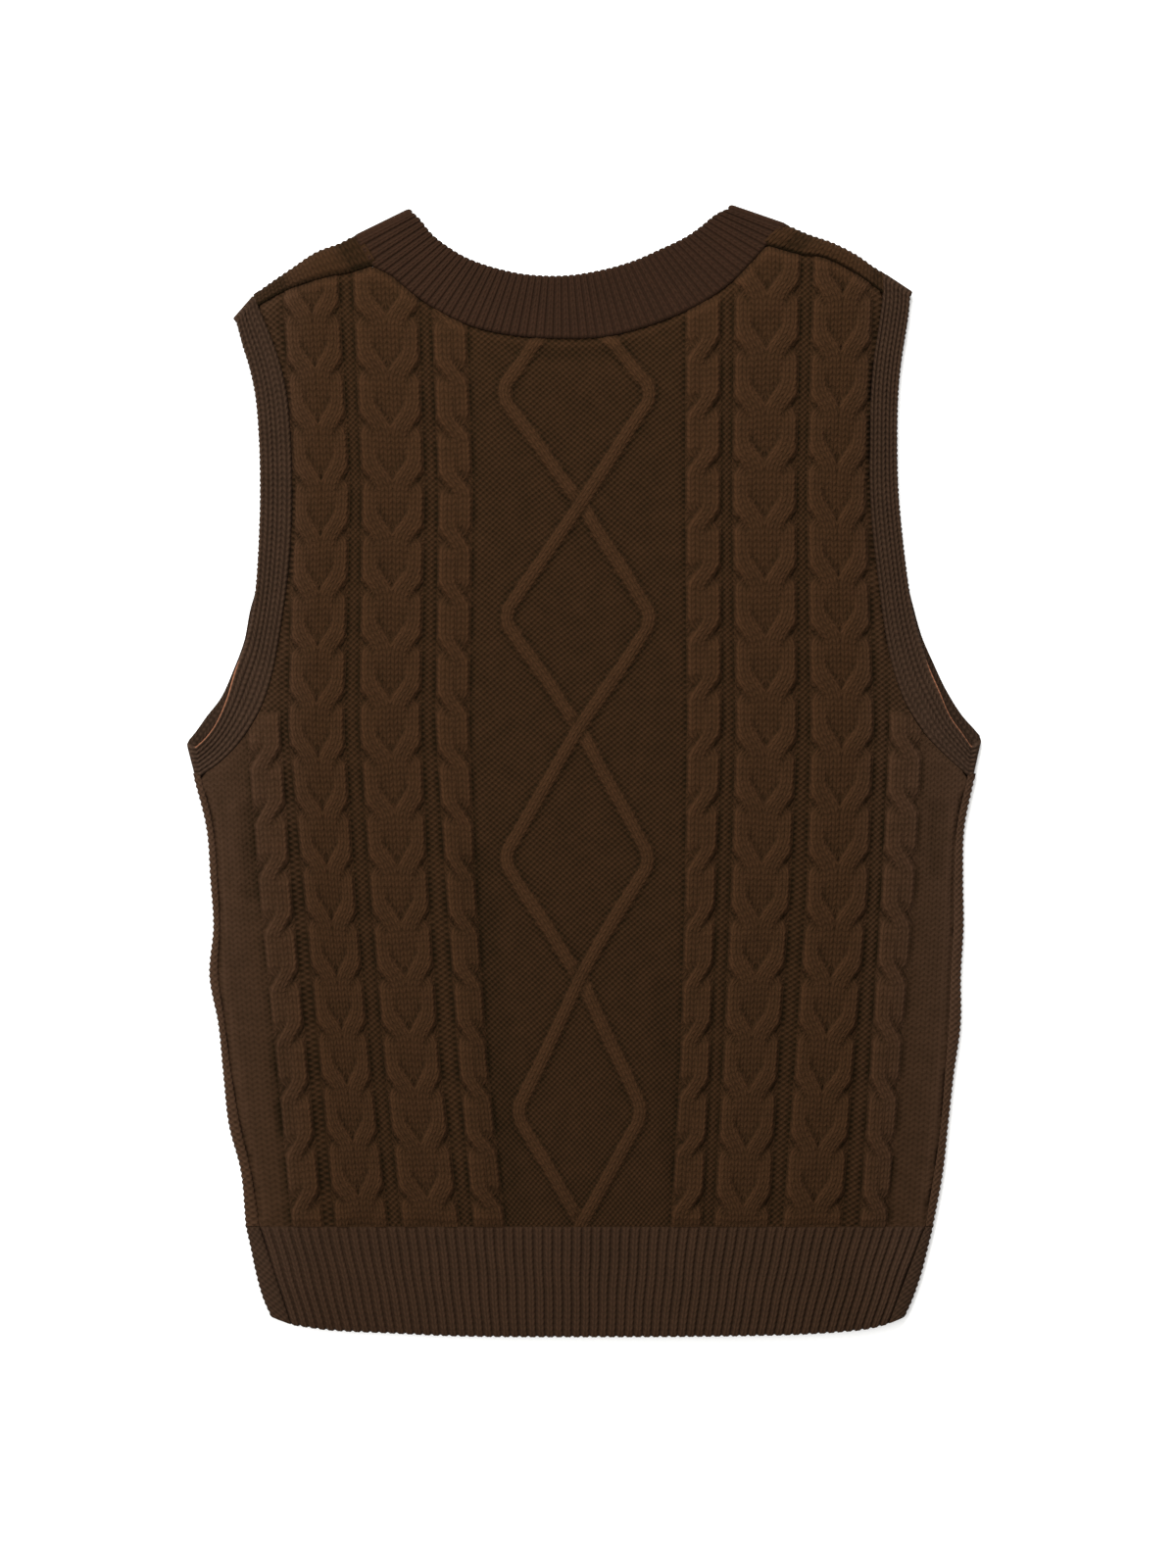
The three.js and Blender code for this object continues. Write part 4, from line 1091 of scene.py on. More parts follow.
@dataclass(frozen=True)
class YarnFinish:
    """Brushed acrylic and wool yarn, knitted.

    Worsted-spun yarn with short fibres standing off it: matt, with a weak brown sheen where it
    turns away and a painted sheen toward the vest's sides, and painted shade between its stitches.

    Attributes:
        name: what the knitting is.
        light: the yarn's own colour, on the crown of a stitch.
        dark: painted shade, between stitches and in hollows.
        spread: how much of a wale its two legs take up; more makes them narrower.
        depth: height of a stitch, in millimetres.
        slant: courses that a leg climbs from the middle of its wale to its side.
        row_depth: half the dip between courses, as a share of a stitch's height.
        fibre: width of a clump of fibres, in millimetres.
        heather: width of a lighter or darker stretch of yarn, in millimetres.
        roughness: roughness of its surface.
        sheen_and_painted_sheen: tint of the shader's sheen, and colour of a painted sheen mixed in
        toward the vest's sides.
        glow: colour of a painted glow on a thin edge, standing in for light that comes through it.
    """

    name: str
    light: str
    # Painted shade: the colour between stitches and in hollows.
    dark: str
    spread: float = 1.0
    depth: float = 0.8
    slant: float = 0.5
    row_depth: float = 0.22
    fibre: float = 0.55
    heather: float = 9.0
    roughness: float = 0.92
    # Colour of the painted sheen, and tint of the shader's sheen.
    sheen_and_painted_sheen: str = "#4c3b31"
    # Colour of the painted glow.
    glow: str = "#8e5c42"


def add(
    tree: bpy.types.NodeTree, kind: str, inputs: dict | None = None, **settings: object
) -> bpy.types.Node:
    """Adds a shader node with its settings and links.

    Args:
        tree: node tree of the material.
        kind: Blender's name for the node.
        inputs: a value or another node's output for each named or numbered input.
        settings: the node's own properties.

    Returns:
        The node.
    """
    node = tree.nodes.new(kind)
    for key, value in settings.items():
        setattr(node, key, value)
    for key, value in (inputs or {}).items():
        if isinstance(value, bpy.types.NodeSocket):
            tree.links.new(value, node.inputs[key])
        else:
            node.inputs[key].default_value = value
    return node


def calculate(
    tree: bpy.types.NodeTree, known: dict[str, object], steps: tuple[tuple, ...]
) -> dict[str, object]:
    """Adds a chain of sums: each step is a name, an operation and what it works on.

    Args:
        tree: node tree of the material.
        known: outputs or numbers that the steps may name.
        steps: the sums in order, each of which may name those before it.

    Returns:
        Everything known after the last step.
    """
    values = dict(known)
    for name, operation, *terms in steps:
        inputs = {i: values.get(term, term) for i, term in enumerate(terms)}
        values[name] = add(tree, "ShaderNodeMath", inputs, operation=operation).outputs[0]
    return values


# Plain stitches: two legs in each wale that slant up and outwards from its middle, parted by
# courses. off is 0 in the middle of a wale and 1 at its sides.
PLAIN_STEPS = (
    ("turn", "FRACT", "wale"),
    ("doubled", "MULTIPLY_ADD", "turn", 2.0, -1.0),
    ("off", "ABSOLUTE", "doubled"),
    ("spread_off", "MULTIPLY", "off", "spread"),
    ("held", "MINIMUM", "spread_off", 1.0),
    ("half_turn", "MULTIPLY", "held", np.pi),
    ("leg", "SINE", "half_turn"),
    ("full_leg", "POWER", "leg", 0.6),
    ("soft_leg", "MULTIPLY_ADD", "full_leg", 0.6, 0.4),
    ("climb", "MULTIPLY", "held", "slant"),
    ("row", "SUBTRACT", "course", "climb"),
    ("row_turn", "MULTIPLY", "row", TAU),
    ("row_wave", "COSINE", "row_turn"),
    ("row_height", "MULTIPLY_ADD", "row_wave", "row_depth", "row_mean"),
    ("plain_height", "MULTIPLY", "soft_leg", "row_height"),
)

# Purl stitches: bumps that lie staggered, with a faint wave along each course
PURL_STEPS = (
    ("wale_turn", "MULTIPLY", "wale", TAU),
    ("wale_wave", "COSINE", "wale_turn"),
    ("course_turn", "MULTIPLY", "course", TAU),
    ("course_wave", "COSINE", "course_turn"),
    ("bump", "MULTIPLY", "wale_wave", "course_wave"),
    ("purl_height", "MULTIPLY_ADD", "bump", 0.5, 0.5),
)


def knit_material(finish: YarnFinish) -> bpy.types.Material:
    """Makes the finish of a knitted piece, whose stitches follow its own map.

    The height of the stitches, roughened by clumps of fibre, gives the bump. It also gives the
    tone, from painted shade between stitches to the yarn's own colour on their crowns, which
    heather mottles. The painted light and shade attribute darkens the tone with painted shade,
    and lightens it with painted light where it is negative. A painted sheen comes in from 145 mm
    beside the middle, and a painted glow, standing in for light through a thin edge, where that
    attribute is below -1.2.

    Args:
        finish: the yarn and the stitch.

    Returns:
        The material.
    """
    material = bpy.data.materials.new(finish.name)
    material.use_nodes = True
    tree = material.node_tree
    tree.nodes.clear()
    stitches = add(tree, "ShaderNodeUVMap", uv_map="stitches").outputs["UV"]
    parts = add(tree, "ShaderNodeSeparateXYZ", {0: stitches}).outputs
    place = add(tree, "ShaderNodeTexCoord").outputs["Object"]
    # Plain stitches, and each point's painted shade and painted light, read from the mesh.
    plain, painted_light_and_shade = (
        add(tree, "ShaderNodeAttribute", attribute_name=name).outputs["Fac"] for name in ("plain", "painted_light_and_shade")
    )
    fibre, heather = (
        add(tree, "ShaderNodeTexNoise", {"Vector": place, "Scale": 1 / (size * MM), "Detail": detail})
        for size, detail in ((finish.fibre, 2.0), (finish.heather, 3.0))
    )
    known = {
        "wale": parts[0],
        "course": parts[1],
        "spread": finish.spread,
        "slant": finish.slant,
        "row_depth": finish.row_depth,
        "row_mean": 1 - finish.row_depth,
        "fibre": fibre.outputs["Fac"],
        "heather": heather.outputs["Fac"],
        "is_plain": plain,
        "painted_light_and_shade": painted_light_and_shade,
        "across": add(tree, "ShaderNodeSeparateXYZ", {0: place}).outputs[0],
    }
    # Tone from stitch height, fibre and heather; its low end is painted shade between stitches.
    mixing = (
        ("gap", "SUBTRACT", "plain_height", "purl_height"),
        ("height", "MULTIPLY_ADD", "gap", "is_plain", "purl_height"),
        ("fuzz", "SUBTRACT", "fibre", 0.5),
        ("fuzzy", "MULTIPLY_ADD", "fuzz", 0.6, "height"),
        ("mottle", "SUBTRACT", "heather", 0.5),
        ("base_tone", "MULTIPLY_ADD", "is_plain", 0.1, 0.12),
        ("ground_tone", "MULTIPLY_ADD", "fuzzy", 0.55, "base_tone"),
        ("tone", "MULTIPLY_ADD", "mottle", 0.35, "ground_tone"),
        # Painted shade in hollows, and painted light where the attribute is negative.
        ("shade", "MULTIPLY_ADD", "painted_light_and_shade", -0.36, "tone"),
        # Painted sheen: grows outward from 145 mm beside the middle, stronger where the tone is lit.
        ("from_middle", "ABSOLUTE", "across"),
        ("outwards", "MULTIPLY_ADD", "from_middle", 6.0, -0.87),
        ("side", "MAXIMUM", "outwards", 0.0),
        ("sheen_and_painted_sheen", "MULTIPLY", "side", "shade"),
        # Painted glow, where the attribute marks a thin edge.
        ("thin", "MULTIPLY_ADD", "painted_light_and_shade", -1.0, -1.2),
        ("glow", "MAXIMUM", "thin", 0.0),
    )
    values = calculate(tree, known, PLAIN_STEPS + PURL_STEPS + mixing)
    # From the dark colour, painted shade between stitches, to the yarn's own colour.
    colour = add(
        tree,
        "ShaderNodeMixRGB",
        {"Fac": values["shade"], "Color1": linear(finish.dark), "Color2": linear(finish.light)},
        use_clamp=False,
    ).outputs[0]
    # Mixes in the painted sheen and the painted glow.
    for name, tint in (("sheen_and_painted_sheen", finish.sheen_and_painted_sheen), ("glow", finish.glow)):
        colour = add(
            tree, "ShaderNodeMixRGB", {"Fac": values[name], "Color1": colour, "Color2": linear(tint)}
        ).outputs[0]
    bump = add(
        tree,
        "ShaderNodeBump",
        {"Strength": 1.0, "Distance": finish.depth * MM, "Height": values["fuzzy"]},
    )
    surface = add(
        tree,
        "ShaderNodeBsdfPrincipled",
        {
            "Base Color": colour,
            "Normal": bump.outputs["Normal"],
            "Roughness": finish.roughness,
            "Specular IOR Level": 0.06,
            "Sheen Weight": 0.06,
            "Sheen Roughness": 0.5,
            "Sheen Tint": linear(finish.sheen_and_painted_sheen),
        },
    )
    add(tree, "ShaderNodeOutputMaterial", {"Surface": surface.outputs[0]})
    return material


def declare(
    piece: bpy.types.Object, node: str, slot: str, layer: Layer, flat: Pair, area: float
) -> None:
    """Sets a cloth piece in the frame, in place of the part that it stands for.

    Args:
        piece: the finished piece.
        node: node that it stands for.
        slot: the record's material slot of its finish. Not used.
        layer: what it lies on. Not used.
        flat: width and length that it was knitted to, in millimetres. Not used.
        area: its flat area, in square millimetres. Not used.
    """
    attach(piece, "root")
    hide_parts(node)
    log.info("%s: %d faces, stands for %s", piece.name, len(piece.data.polygons), node)


def area_of(outline: np.ndarray) -> float:
    """Area inside an outline: half the sum of its corners' cross products."""
    after = np.roll(outline, -1, axis=0)
    return abs(float((outline[:, 0] * after[:, 1] - after[:, 0] * outline[:, 1]).sum())) / 2


@dataclass
class Armband:
    """A ring of rib round an armhole: its back half above, its front half below.

    Attributes:
        name: name of its object.
        table: its free edges and its seam.
        stations: number of stations along one half.
        ridges: number of legs of wales across it, each of which is a ridge.
        rib_depth: depth of the grooves between them.
        knob: how far courses knob its free edge, as a share of its width.
        glow_top: height below which its free edge is thin enough to let light through, which a painted
        glow stands in for.
        glow_ease: height over which that comes in.
        course: length of a course along it.
        fold_courses: courses that the count goes on by at the shoulder fold.
        steps: number of steps across its outer side.
        turns: number of steps round a fold.
    """

    name: str
    table: Table
    stations: int = 190
    ridges: int = 7
    rib_depth: float = 1.0
    knob: float = 0.02
    glow_top: float = 385.0
    glow_ease: float = 20.0
    course: float = 3.1
    fold_courses: float = 3.0
    steps: int = 32
    turns: int = 8

    def rungs(self) -> tuple[Rungs, Rungs, Rungs]:
        """Stations of the back half, of the front half, and of the whole ring."""
        columns = (("edge_x", "edge_up"), ("seam_x", "seam_up"), ("front_x", "front_up"))
        edge, seam, front_edge = (self.table.points(*pair) for pair in columns)
        front_seam = np.vstack([(seam + front_edge - edge)[:-1], seam[-1:]])
        lines = [spline(points, self.stations) for points in (edge, seam, front_edge, front_seam)]
        count = run_length(lines[0]) / self.course
        back = Rungs.level(lines[0], lines[1], 0.0, count)
        further = count[-1] + self.fold_courses + count
        front = Rungs.level(lines[2][::-1], lines[3][::-1], np.pi, further)
        return back, front, back.ring(front, self.turns, 0.4)

    def build(self, finish: bpy.types.Material) -> bpy.types.Object:
        """Builds the ring: ridges along its outer side, plain inside and where it rests.

        Its inner side is painted in shade where it shows beyond the back, and a painted glow on the
        back's thin edge there stands in for light that comes through.

        Args:
            finish: its material.

        Returns:
            The piece.
        """
        whole = self.rungs()[2]
        share, wall = band_profile(self.steps)
        shows = whole.showing()
        groove = 1 - rib_height(share * self.ridges, 0.9, 0)
        depth = wall * (CLOTH - self.rib_depth * groove * shows)
        low = smooth((self.glow_top - whole.edge[:, 1]) / self.glow_ease)[:, None]
        low = low * (whole.fold < 0.5)[:, None]
        knob = self.knob * np.cos(TAU * whole.count)[:, None] * (share < 0.02) * shows * (1 - 0.8 * low)
        points = whole.surface(share + knob, depth)
        ring = band_patch(points, share * self.ridges / 2, whole.count[:, None], (True, True))
        # Painted shade on the front half's inner side, and a painted glow along the back half's free edge low
        # in the armhole.
        shade = smooth(whole.fold / np.pi)[:, None] * (wall < 0.7) * (share < 0.99)
        thin = low * (whole.fold < 0.01)[:, None] * (share < 0.04) * (wall > 0.7)
        ring.painted_light_and_shade = (0.85 * shade - 2.1 * thin).ravel()
        return knit_piece(self.name, [ring], finish)

    def cut(self) -> Cut:
        """Width, length and area of the band before it was sewn on."""
        whole = self.rungs()[2]
        return whole.cut(float(whole.widths().mean()))


@dataclass
class Neckband:
    """A ring of rib round the neck: ribs across it on the back, a V on the front below.

    Attributes:
        name: name of its object.
        ribs: number of ribs on the back.
        stations_a_rib: number of stations in each.
        front_stations: number of stations along each leg of the V.
        rib_depth: depth of the grooves between ribs.
        knob: how far ribs stand out from its free edge, as a share of its width.
        rib_width: width of a rib on the front.
        steps: number of steps across its outer side.
        turns: number of steps round a fold.
    """

    name: str = "neckband_knit"
    ribs: int = 56
    stations_a_rib: int = 12
    front_stations: int = 60
    rib_depth: float = 0.75
    knob: float = 0.016
    rib_width: float = 4.5
    steps: int = 16
    turns: int = 8

    def corners(self, back: Rungs) -> tuple[int, ...]:
        """Numbers of the back's stations at which the shoulder seams meet the band."""
        places = NECK.points("seam_x", "seam_up")[list(NECK_CORNER_ROWS)]
        return tuple(int(np.linalg.norm(back.seam - place, axis=1).argmin()) for place in places)

    def rungs(self) -> tuple[Rungs, Rungs, Rungs]:
        """Stations of the back half, of the front half, and of the whole ring.

        The front's edge and seam run straight from the shoulder seams to the tips of the V.

        Returns:
            The three rows of stations.
        """
        number = self.ribs * self.stations_a_rib + 1
        columns = (("edge_x", "edge_up"), ("seam_x", "seam_up"))
        edge, seam = (spline(NECK.points(*pair), number) for pair in columns)
        back = Rungs.level(edge, seam, 0.0, np.arange(number) / self.stations_a_rib)
        first, last = self.corners(back)
        share = np.linspace(0, 1, self.front_stations)[:, None]
        lines = []
        for line, tip in ((back.edge, V_EDGE), (back.seam, V_SEAM)):
            down, rise = (line[row] + (np.array(tip) - line[row]) * share for row in (last, first))
            lines.append(np.vstack([line[-1:], down, rise[-2::-1], line[:1]]))
        further = self.ribs + 1 + run_length(lines[0]) / self.rib_width
        front = Rungs.level(*lines, np.pi, further)
        return back, front, back.ring(front, self.turns, 0.15)

    def seam_between_corners(self) -> np.ndarray:
        """The seam on the back from one shoulder seam to the other."""
        back = self.rungs()[0]
        first, last = self.corners(back)
        return back.seam[first : last + 1 : 4]

    def build(self, finish: bpy.types.Material) -> bpy.types.Object:
        """Builds the ring: ribs across the back, plain inside and where it rests.

        Args:
            finish: its material.

        Returns:
            The piece.
        """
        whole = self.rungs()[2]
        share, wall = band_profile(self.steps)
        shows = whole.showing()
        crest = rib_height(whole.count)[:, None]
        depth = wall * (CLOTH - self.rib_depth * (1 - crest) * shows)
        points = whole.surface(share - self.knob * crest * (share < 0.02) * shows, depth)
        course = share * whole.widths().mean() / COURSE
        ring = band_patch(points, whole.count[:, None], course, (True, True))
        return knit_piece(self.name, [ring], finish)

    def cut(self) -> Cut:
        """Width, length and area of the band before it was sewn on."""
        whole = self.rungs()[2]
        return whole.cut(float(np.median(whole.widths())))


@dataclass
class BackHem:
    """The back half of the hem rib.

    Attributes:
        name: name of its object.
        ribs: number of ribs.
        stations_a_rib: number of stations in each.
        rib_depth: depth of the grooves between ribs.
        knob: how far ribs stand out from its free edge, as a share of its height.
        sway: how far ribs wander sideways, in millimetres.
        steps: number of steps down its outer side.
        seam_width: its width laid flat at the seam.
        edge_width: its width laid flat at the free edge.
        curved: share of its area that the curve of the free edge leaves.
    """

    name: str = "back_hem_knit"
    ribs: int = 68
    stations_a_rib: int = 12
    rib_depth: float = 1.45
    knob: float = 0.012
    sway: float = 0.25
    steps: int = 30
    seam_width: float = 366.0
    edge_width: float = 330.0
    curved: float = 0.97

    def build(self, finish: bpy.types.Material) -> bpy.types.Object:
        """Builds ribs that run from the seam to the free edge, plain inside.

        Each rib sways by half a sine wave between its ends, a little differently from the next.

        Args:
            finish: its material.

        Returns:
            The piece.
        """
        number = self.ribs * self.stations_a_rib + 1
        seam = np.array([(HEM_SEAMS[0] + SEAM_GAP, HEM_TOP), (HEM_SEAMS[1] - SEAM_GAP, HEM_TOP)])
        count = np.arange(number) / self.stations_a_rib
        edge = spline(HEM_EDGE.points("x", "up"), number)
        rungs = Rungs.level(edge, evenly(seam, number), 0.0, count)
        share, wall = band_profile(self.steps, ((0.97, 1.0), (1.0, 1.0), (1.0, 0.5)))
        crest = rib_height(count)[:, None]
        depth = wall * (CLOTH - self.rib_depth * (1 - crest) * smooth((1 - share) / 0.06))
        points = rungs.surface(share - self.knob * crest * (share < 0.02), depth)
        sway = self.sway * np.sin(3.1 * share * np.pi + count[:, None] * 0.37)
        points[..., 0] += sway * np.sin(np.pi * share)
        body = band_patch(points, count[:, None], share * HEM_TOP / COURSE, (False, True))
        return knit_piece(self.name, [body, cap_patch(points[0]), cap_patch(points[-1])], finish)

    def cut(self) -> Cut:
        """Width, length and area of the piece laid flat."""
        area = (self.seam_width + self.edge_width) / 2 * HEM_TOP * self.curved
        return (self.seam_width, HEM_TOP), area


# Round a rolled edge, from inside the flat wall down to the table, out to the fold, up round it
# and over to the seam: share of the way from the fold to the seam, and share of its height
ROLL_SECTION = Table.of(
    "share height",
    (0.62, 0.26),
    (0.5, 0.0),
    (0.3, 0.0),
    (0.12, 0.08),
    (0.03, 0.24),
    (0.0, 0.42),
    (0.03, 0.6),
    (0.12, 0.77),
    (0.3, 0.9),
    (0.55, 0.97),
    (0.8, 0.99),
    (0.95, 0.95),
    (1.0, 0.8),
    (1.0, 0.56),
)


@dataclass(frozen=True)
class Roll:
    """A rolled edge: the front's cloth comes round a fold and ends at a seam on the back.

    Attributes:
        fold: (n, 2) stations on the outline.
        seam: (n, 2) stations on the seam.
        knob: how far courses knob the fold.
        bulge: rise of the lumps that the other side's cables make in it, and strength of the painted
            shade between them and in the groove by the seam.
        pale: painted rim light that makes its outer side lighter, in the units of the painted light and
            shade attribute.
    """

    fold: np.ndarray
    seam: np.ndarray
    knob: float = 0.35
    bulge: float = 0.0
    pale: float = 0.0

    @classmethod
    def along(
        cls, table: Table, fold: tuple[str, str], seam: tuple[str, str], tucks: Pair, **looks: float
    ) -> "Roll":
        """A roll between two lines of a table, with a station at each 0.8 mm.

        Args:
            table: places of its fold and seam.
            fold: columns of the fold.
            seam: columns of the seam.
            tucks: how far it goes on below its neighbours at its start and end.
            looks: its bulge, or pale, the strength of its painted rim light.

        Returns:
            The roll.
        """
        number = int(run_length(table.points(*fold))[-1] / 0.8) + 1
        lines = []
        for line in (spline(table.points(*columns), number) for columns in (fold, seam)):
            ends = (line[0] - line[4], line[-1] - line[-5])
            first, last = (end / np.linalg.norm(end) * tuck for end, tuck in zip(ends, tucks))
            lines.append(np.vstack([line[0] + first, line, line[-1] + last]))
        return cls(*lines, **looks)

    def middle(self) -> np.ndarray:
        """The line under the roll where the flat wall begins."""
        return self.fold + (self.seam - self.fold) * 0.5

    def lumps(self) -> np.ndarray:
        """Where the wide cables of the other side end under it, 1 on a cable and 0 beside it."""
        lumps = np.zeros(len(self.fold))
        for cable in (cable for cable in CABLES if cable.strands == 4):
            place = (self.fold[:, 0] - cable.middles[-1]) / cable.halves[-1]
            lumps = np.maximum(lumps, dome(place, 4))
        return lumps[:, None]

    def patches(self) -> list[Patch]:
        """The strip, closed at its ends.

        Its section is carried along the line from fold to seam at each station. The fold is
        knobbed by the courses, and the lumps swell its upper side. Painted shade darkens the channels
        between the lumps and the groove by the seam, and painted rim light lightens the outer side.

        Returns:
            The strip and its two ends.
        """
        share, height = ROLL_SECTION.column("share"), ROLL_SECTION.column("height")
        over = height > 0.5
        along = run_length(self.fold)
        flat = self.fold[:, None] + (self.seam - self.fold)[:, None] * share[:, None]
        line = self.fold - self.seam
        out = line / np.linalg.norm(line, axis=1)[:, None]
        knob = self.knob * np.cos(TAU * along / COURSE)[:, None] * np.exp(-((share / 0.2) ** 2))
        flat = flat + out[:, None] * knob[..., None]
        lumps = self.lumps()
        z = height * FOLD_TOP + self.bulge * np.sqrt(np.sin(np.pi * share).clip(0)) * over * lumps
        points = np.dstack([flat, np.broadcast_to(z, flat.shape[:2])])
        across = run_length(np.median(points, axis=0))
        counts = np.broadcast_arrays(np.append(across, across[-1] + 3), along[:, None])
        wale, course = counts[::-1] if self.bulge else counts
        body = grid_patch(points, wale / ROLL_WALE, course / COURSE, (False, True))
        body.plain[:] = self.bulge > 0
        # Painted shade in the channels between the lumps and in the groove by the seam, less painted rim
        # light on the outer side.
        groove = np.exp(-(((share - 0.97) / 0.05) ** 2)) * over
        dark = self.bulge * ((1 - lumps) * over * 0.7 + groove)
        body.painted_light_and_shade = (dark - self.pale * (height > 0.2)).ravel()
        return [body, cap_patch(points[0]), cap_patch(points[-1])]


def plate_patches(outline: np.ndarray) -> list[Patch]:
    """A flat wall of the front layer: underside on the table, top under the back.

    Args:
        outline: (n, 2) corners.

    Returns:
        Its underside, its top and its sides.
    """
    low, top = at_height(outline, 0.0), at_height(outline, FRONT_TOP)
    under = filled_patch(outline, lambda x, up: np.zeros_like(x))
    over = filled_patch(outline, lambda x, up: np.full_like(x, FRONT_TOP))
    return [under, over, wall_patch(low, top)]


@dataclass(frozen=True)
class SideRolls:
    """The four rolled edges of the front panel.

    Attributes:
        left: the edge at its left side fold.
        right: the edge at its right side fold.
        left_shoulder: the edge at its left shoulder fold.
        right_shoulder: the edge at its right shoulder fold.
    """

    left: Roll
    right: Roll
    left_shoulder: Roll
    right_shoulder: Roll

    @classmethod
    def measured(cls) -> "SideRolls":
        """The edges as the tables of the sides and shoulders give them."""
        # The side rolls get painted rim light on their outer side; the shoulder rolls get painted shade
        # between their lumps.
        sides = (
            Roll.along(SIDES, (f"fold_{side}", "up"), (f"seam_{side}", "up"), (0, 3), pale=0.9)
            for side in ("left", "right")
        )
        shoulders = (
            Roll.along(table, ("fold_x", "fold_up"), ("seam_x", "seam_up"), tucks, bulge=1.2)
            for table, tucks in ((LEFT_SHOULDER, (3, 4)), (RIGHT_SHOULDER, (4, 3)))
        )
        return cls(*sides, *shoulders)

    def patches(self) -> list[Patch]:
        """The strips of all four."""
        rolls = (self.left, self.right, self.left_shoulder, self.right_shoulder)
        return [patch for roll in rolls for patch in roll.patches()]


def flat_cut(outline: np.ndarray, margins: Pair = (0, 0), turned: tuple[Pair, ...] = ()) -> Cut:
    """The cut of a panel, whose edges may be turned over.

    Args:
        outline: (n, 2) corners of its flat wall.
        margins: what the turned edges add to its width and to its length.
        turned: length and depth of each pair of turned edges.

    Returns:
        Width, length and area before any edges were turned over.
    """
    size = outline.max(0) - outline.min(0) + margins
    edges = sum(2 * length * depth for length, depth in turned)
    return (float(size[0]), float(size[1])), area_of(outline) + edges


@dataclass
class FrontPanel:
    """The front: a flat wall on the table whose edges roll over at its sides and shoulders.

    Attributes:
        arms: the left and right armbands.
        neck: the neckband.
        rolls: its rolled edges.
        name: name of its object.
        margins: what the turned edges add to its width and to its length.
        turned: length and depth of the edge that is turned over at a side and at a shoulder.
    """

    arms: tuple[Armband, Armband]
    neck: Neckband
    rolls: SideRolls
    name: str = Layer.FRONT.value
    margins: Pair = (20, 24)
    turned: tuple[Pair, Pair] = ((250, 9.0), (55, 22.0))

    def outline(self) -> np.ndarray:
        """Outline of the flat wall, from its left hem corner up and round."""
        left, right = (arm.rungs()[1] for arm in self.arms)
        neck = self.neck.rungs()[1]
        return np.vstack(
            [
                (HEM_FOLDS[0] + WALL_INSET, HEM_TOP + SEAM_GAP),
                self.rolls.left.middle()[4::6],
                left.seam[2:-2:4],
                self.rolls.left_shoulder.middle()[::4],
                neck.seam[::-1][2:-2:3],
                self.rolls.right_shoulder.middle()[::4],
                right.seam[::-1][2:-2:4],
                self.rolls.right.middle()[::-1][:-4:6],
                (HEM_FOLDS[1] - WALL_INSET, HEM_TOP + SEAM_GAP),
            ]
        )

    def build(self, finish: bpy.types.Material) -> bpy.types.Object:
        """Builds the wall and its rolled edges."""
        patches = plate_patches(self.outline()) + self.rolls.patches()
        return knit_piece(self.name, patches, finish)

    def cut(self) -> Cut:
        """Width, length and area of the panel before its edges were turned over."""
        return flat_cut(self.outline(), self.margins, self.turned)


@dataclass
class FrontHem:
    """The front half of the hem rib, rolled over the side folds like the panel above it.

    Attributes:
        name: name of its object.
        edge_points: number of points on its free edge.
        margins: what the turned edges add to its width and to its length.
        turned: length and depth of the edge that is turned over at a side.
    """

    name: str = Layer.FRONT_HEM.value
    edge_points: int = 90
    margins: Pair = (20, 0)
    turned: Pair = (55, 14.0)

    def rolls(self) -> tuple[Roll, ...]:
        """The left and right rolled edges."""
        return tuple(
            Roll.along(HEM_SIDES, (f"fold_{side}", "up"), (f"seam_{side}", f"seam_{side}_up"), (0, 0))
            for side in ("left", "right")
        )

    def outline(self) -> np.ndarray:
        """Outline of the flat wall, from its left seam corner down and round."""
        left, right = self.rolls()
        return np.vstack(
            [
                (HEM_FOLDS[0] + WALL_INSET, HEM_TOP),
                left.middle()[4::6],
                spline(HEM_EDGE.points("x", "up"), self.edge_points),
                right.middle()[::-1][:-4:6],
                (HEM_FOLDS[1] - WALL_INSET, HEM_TOP),
            ]
        )

    def build(self, finish: bpy.types.Material) -> bpy.types.Object:
        """Builds the wall and its rolled edges."""
        strips = [patch for roll in self.rolls() for patch in roll.patches()]
        return knit_piece(self.name, plate_patches(self.outline()) + strips, finish)

    def cut(self) -> Cut:
        """Width, length and area of the piece before its edges were turned over."""
        return flat_cut(self.outline(), self.margins, (self.turned,))


